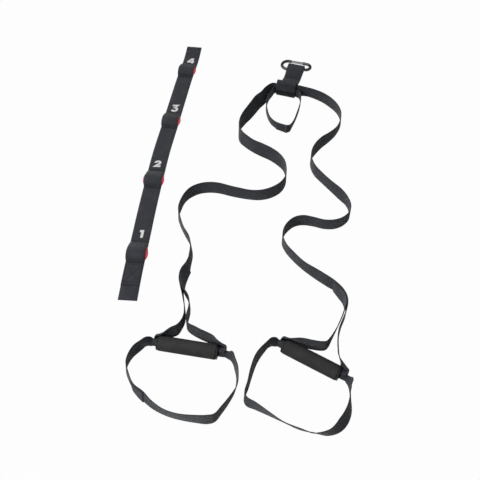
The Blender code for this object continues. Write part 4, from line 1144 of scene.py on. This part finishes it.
def extender():
    way = Way(EXTENDER)
    low, high = WEB / 2, WEB / 2 + PLY

    def flat_strap(height):
        return Strap([way.section(d, height) for d in spread(0, way.length, GROUND_STEPS)], EXTENDER_WIDTH)

    ground = flat_strap(low)
    ground.lay("extender_ground_webbing", "extender", "extender_ground_strap")

    starts = [way.distance_at(y) - LOOP_LENGTH / 2 for y in LOOP_PLACES]
    upper = []
    flat_from = TOP_PLY_START
    for start in starts:
        count = max(3, round((start - flat_from) / FLAT_STEP))
        upper += [way.section(d, high) for d in spread(flat_from, start, count)[:-1]]
        for angle in spread(0, pi, LOOP_STEPS):
            along, height = arch(angle)
            upper.append(way.section(start + LOOP_LENGTH * along, high + LOOP_HEIGHT * height))
        flat_from = start + LOOP_LENGTH
    upper += [way.section(d, high) for d in spread(flat_from, way.length, TAIL_STEPS)[1:]]
    top = Strap(upper, EXTENDER_WIDTH)
    nodes = ["extender_top_strap_%d" % k for k in range(1, 6)] + ["extender_loop_strap_%d" % k for k in range(1, 5)]
    top.lay("extender_upper_webbing", "extender", *nodes)

    half = EXTENDER_WIDTH / 2 - EXTENDER_MARGIN
    flat = flat_strap(high)
    lines = box_stitch(TOP_PLY_START + FIRST_BOX[0], starts[0] - FIRST_BOX[1], half)
    for start in starts:
        for bar in (start - LOOP_BAR, start + LOOP_LENGTH + LOOP_BAR):
            lines += bar_tack(bar, half)
    lines += box_stitch(way.length - LAST_BOX[0], way.length - LAST_BOX[1], half)
    sew("extender_stitches", flat, lines, -1, "extender", look=BLACK_THREAD_AND_SHADOW, girth=2.0)
    # A thick black row just past where the upper ply starts: painted shadow of the ply's end step
    ply_end_shadow = row((TOP_PLY_START + PLY_END_SHADOW_SETBACK, -half), (TOP_PLY_START + PLY_END_SHADOW_SETBACK, half))
    sew("extender_ply_end_shadow_stitches", flat, ply_end_shadow, -1, "extender", look=BLACK_THREAD_AND_SHADOW, girth=3.4)

    lining_low = WEB + GAP + LINING / 2
    inset = WEB + GAP + LINING_INSET
    for number, (start, (bulge, widening)) in enumerate(zip(starts, LININGS), 1):
        lining = []
        for angle in spread(0, pi, LOOP_STEPS):
            along, height = arch(angle)
            share = sin(min(angle * LINING_LEAN, pi)) ** LINING_FULLNESS
            lining.append(way.section(start + inset + (LOOP_LENGTH - 2 * inset) * along,
                                      lining_low + (LOOP_HEIGHT - LINING_DROP) * height,
                                      bulge * share, widening * share))
        tape = Strap(lining, LINING_WIDTH, LINING)
        tape.lay("lining_tape_%d" % number, "extender", "extender_lining_%d" % number, look=RED, slot="lining_red")

    for digit, (x, y, wide, tall) in DIGIT_PLACES.items():
        matrix = Matrix.Translation((x, y, high + WEB / 2 - PRINT_SUNK)) @ Matrix(
            ((1, ITALIC, 0, 0), (0, 1, 0, 0), (0, 0, 1, 0), (0, 0, 0, 1)))
        parts = [digit_strip([(px * wide, py * tall) for px, py in stroke], STROKE, matrix,
                             PRINT_HEIGHT + PRINT_STEP * k) for k, stroke in enumerate(DIGITS[digit])]
        made = make_object("digit_%d" % digit, *join(*parts), PRINT, smooth=False)
        place(made, "extender", "webbing")


extender()


# Floor, light and background
FLOOR_HALF, FLOOR_DROP = 6, 0.0004
FLOOR_GREY, FLOOR_GLOW = 0.32, 0.98
WORLD_LIGHT, WORLD_SEEN = 0.19, 0.986
# Name, place, size and power of each lamp
LAMPS = (("lamp_above", (-0.8, 0.6, 1.7), 1.0, 11.5), ("lamp_front", (-1.30, -1.15, 1.15), 0.8, 19.0))


def stage():
    material = bpy.data.materials.new("floor_white")
    nodes = Nodes(material)
    nodes.tree.nodes.clear()
    grey = nodes.add("BsdfDiffuse", {"Color": (FLOOR_GREY, FLOOR_GREY, FLOOR_GREY, 1)})
    glow = nodes.add("Emission", {"Color": (1, 1, 1, 1)})
    path = nodes.add("LightPath").outputs
    seen = nodes.math("MAXIMUM", path["Is Camera Ray"], path["Is Glossy Ray"])
    seen = nodes.math("MAXIMUM", seen, path["Is Transmission Ray"])
    blend = nodes.add("MixShader", {0: nodes.math("MULTIPLY", seen, FLOOR_GLOW), 1: grey.outputs[0],
                                    2: glow.outputs[0]})
    nodes.add("OutputMaterial", {"Surface": blend.outputs[0]})
    corners = [(x * FLOOR_HALF, y * FLOOR_HALF, 0) for x, y in ((-1, -1), (1, -1), (1, 1), (-1, 1))]
    floor = make_object("floor", corners, [(0, 1, 2, 3)], material)
    floor.location.z = -FLOOR_DROP

    world = bpy.data.worlds.new("studio")
    bpy.context.scene.world = world
    nodes = Nodes(world)
    direct = nodes.add("LightPath").outputs["Is Camera Ray"]
    strength = nodes.math("MULTIPLY_ADD", direct, WORLD_SEEN - WORLD_LIGHT, WORLD_LIGHT)
    nodes.feed_all(nodes.tree.nodes["Background"], {"Color": (1, 1, 1, 1), "Strength": strength})

    for name, spot, size, power in LAMPS:
        lamp_data = bpy.data.lights.new(name, "AREA")
        lamp_data.size, lamp_data.energy = size, power
        add_object(name, lamp_data, spot, (-Vector(spot)).to_track_quat("-Z", "Y").to_euler())


stage()
bpy.context.scene.view_settings.view_transform = "Standard"
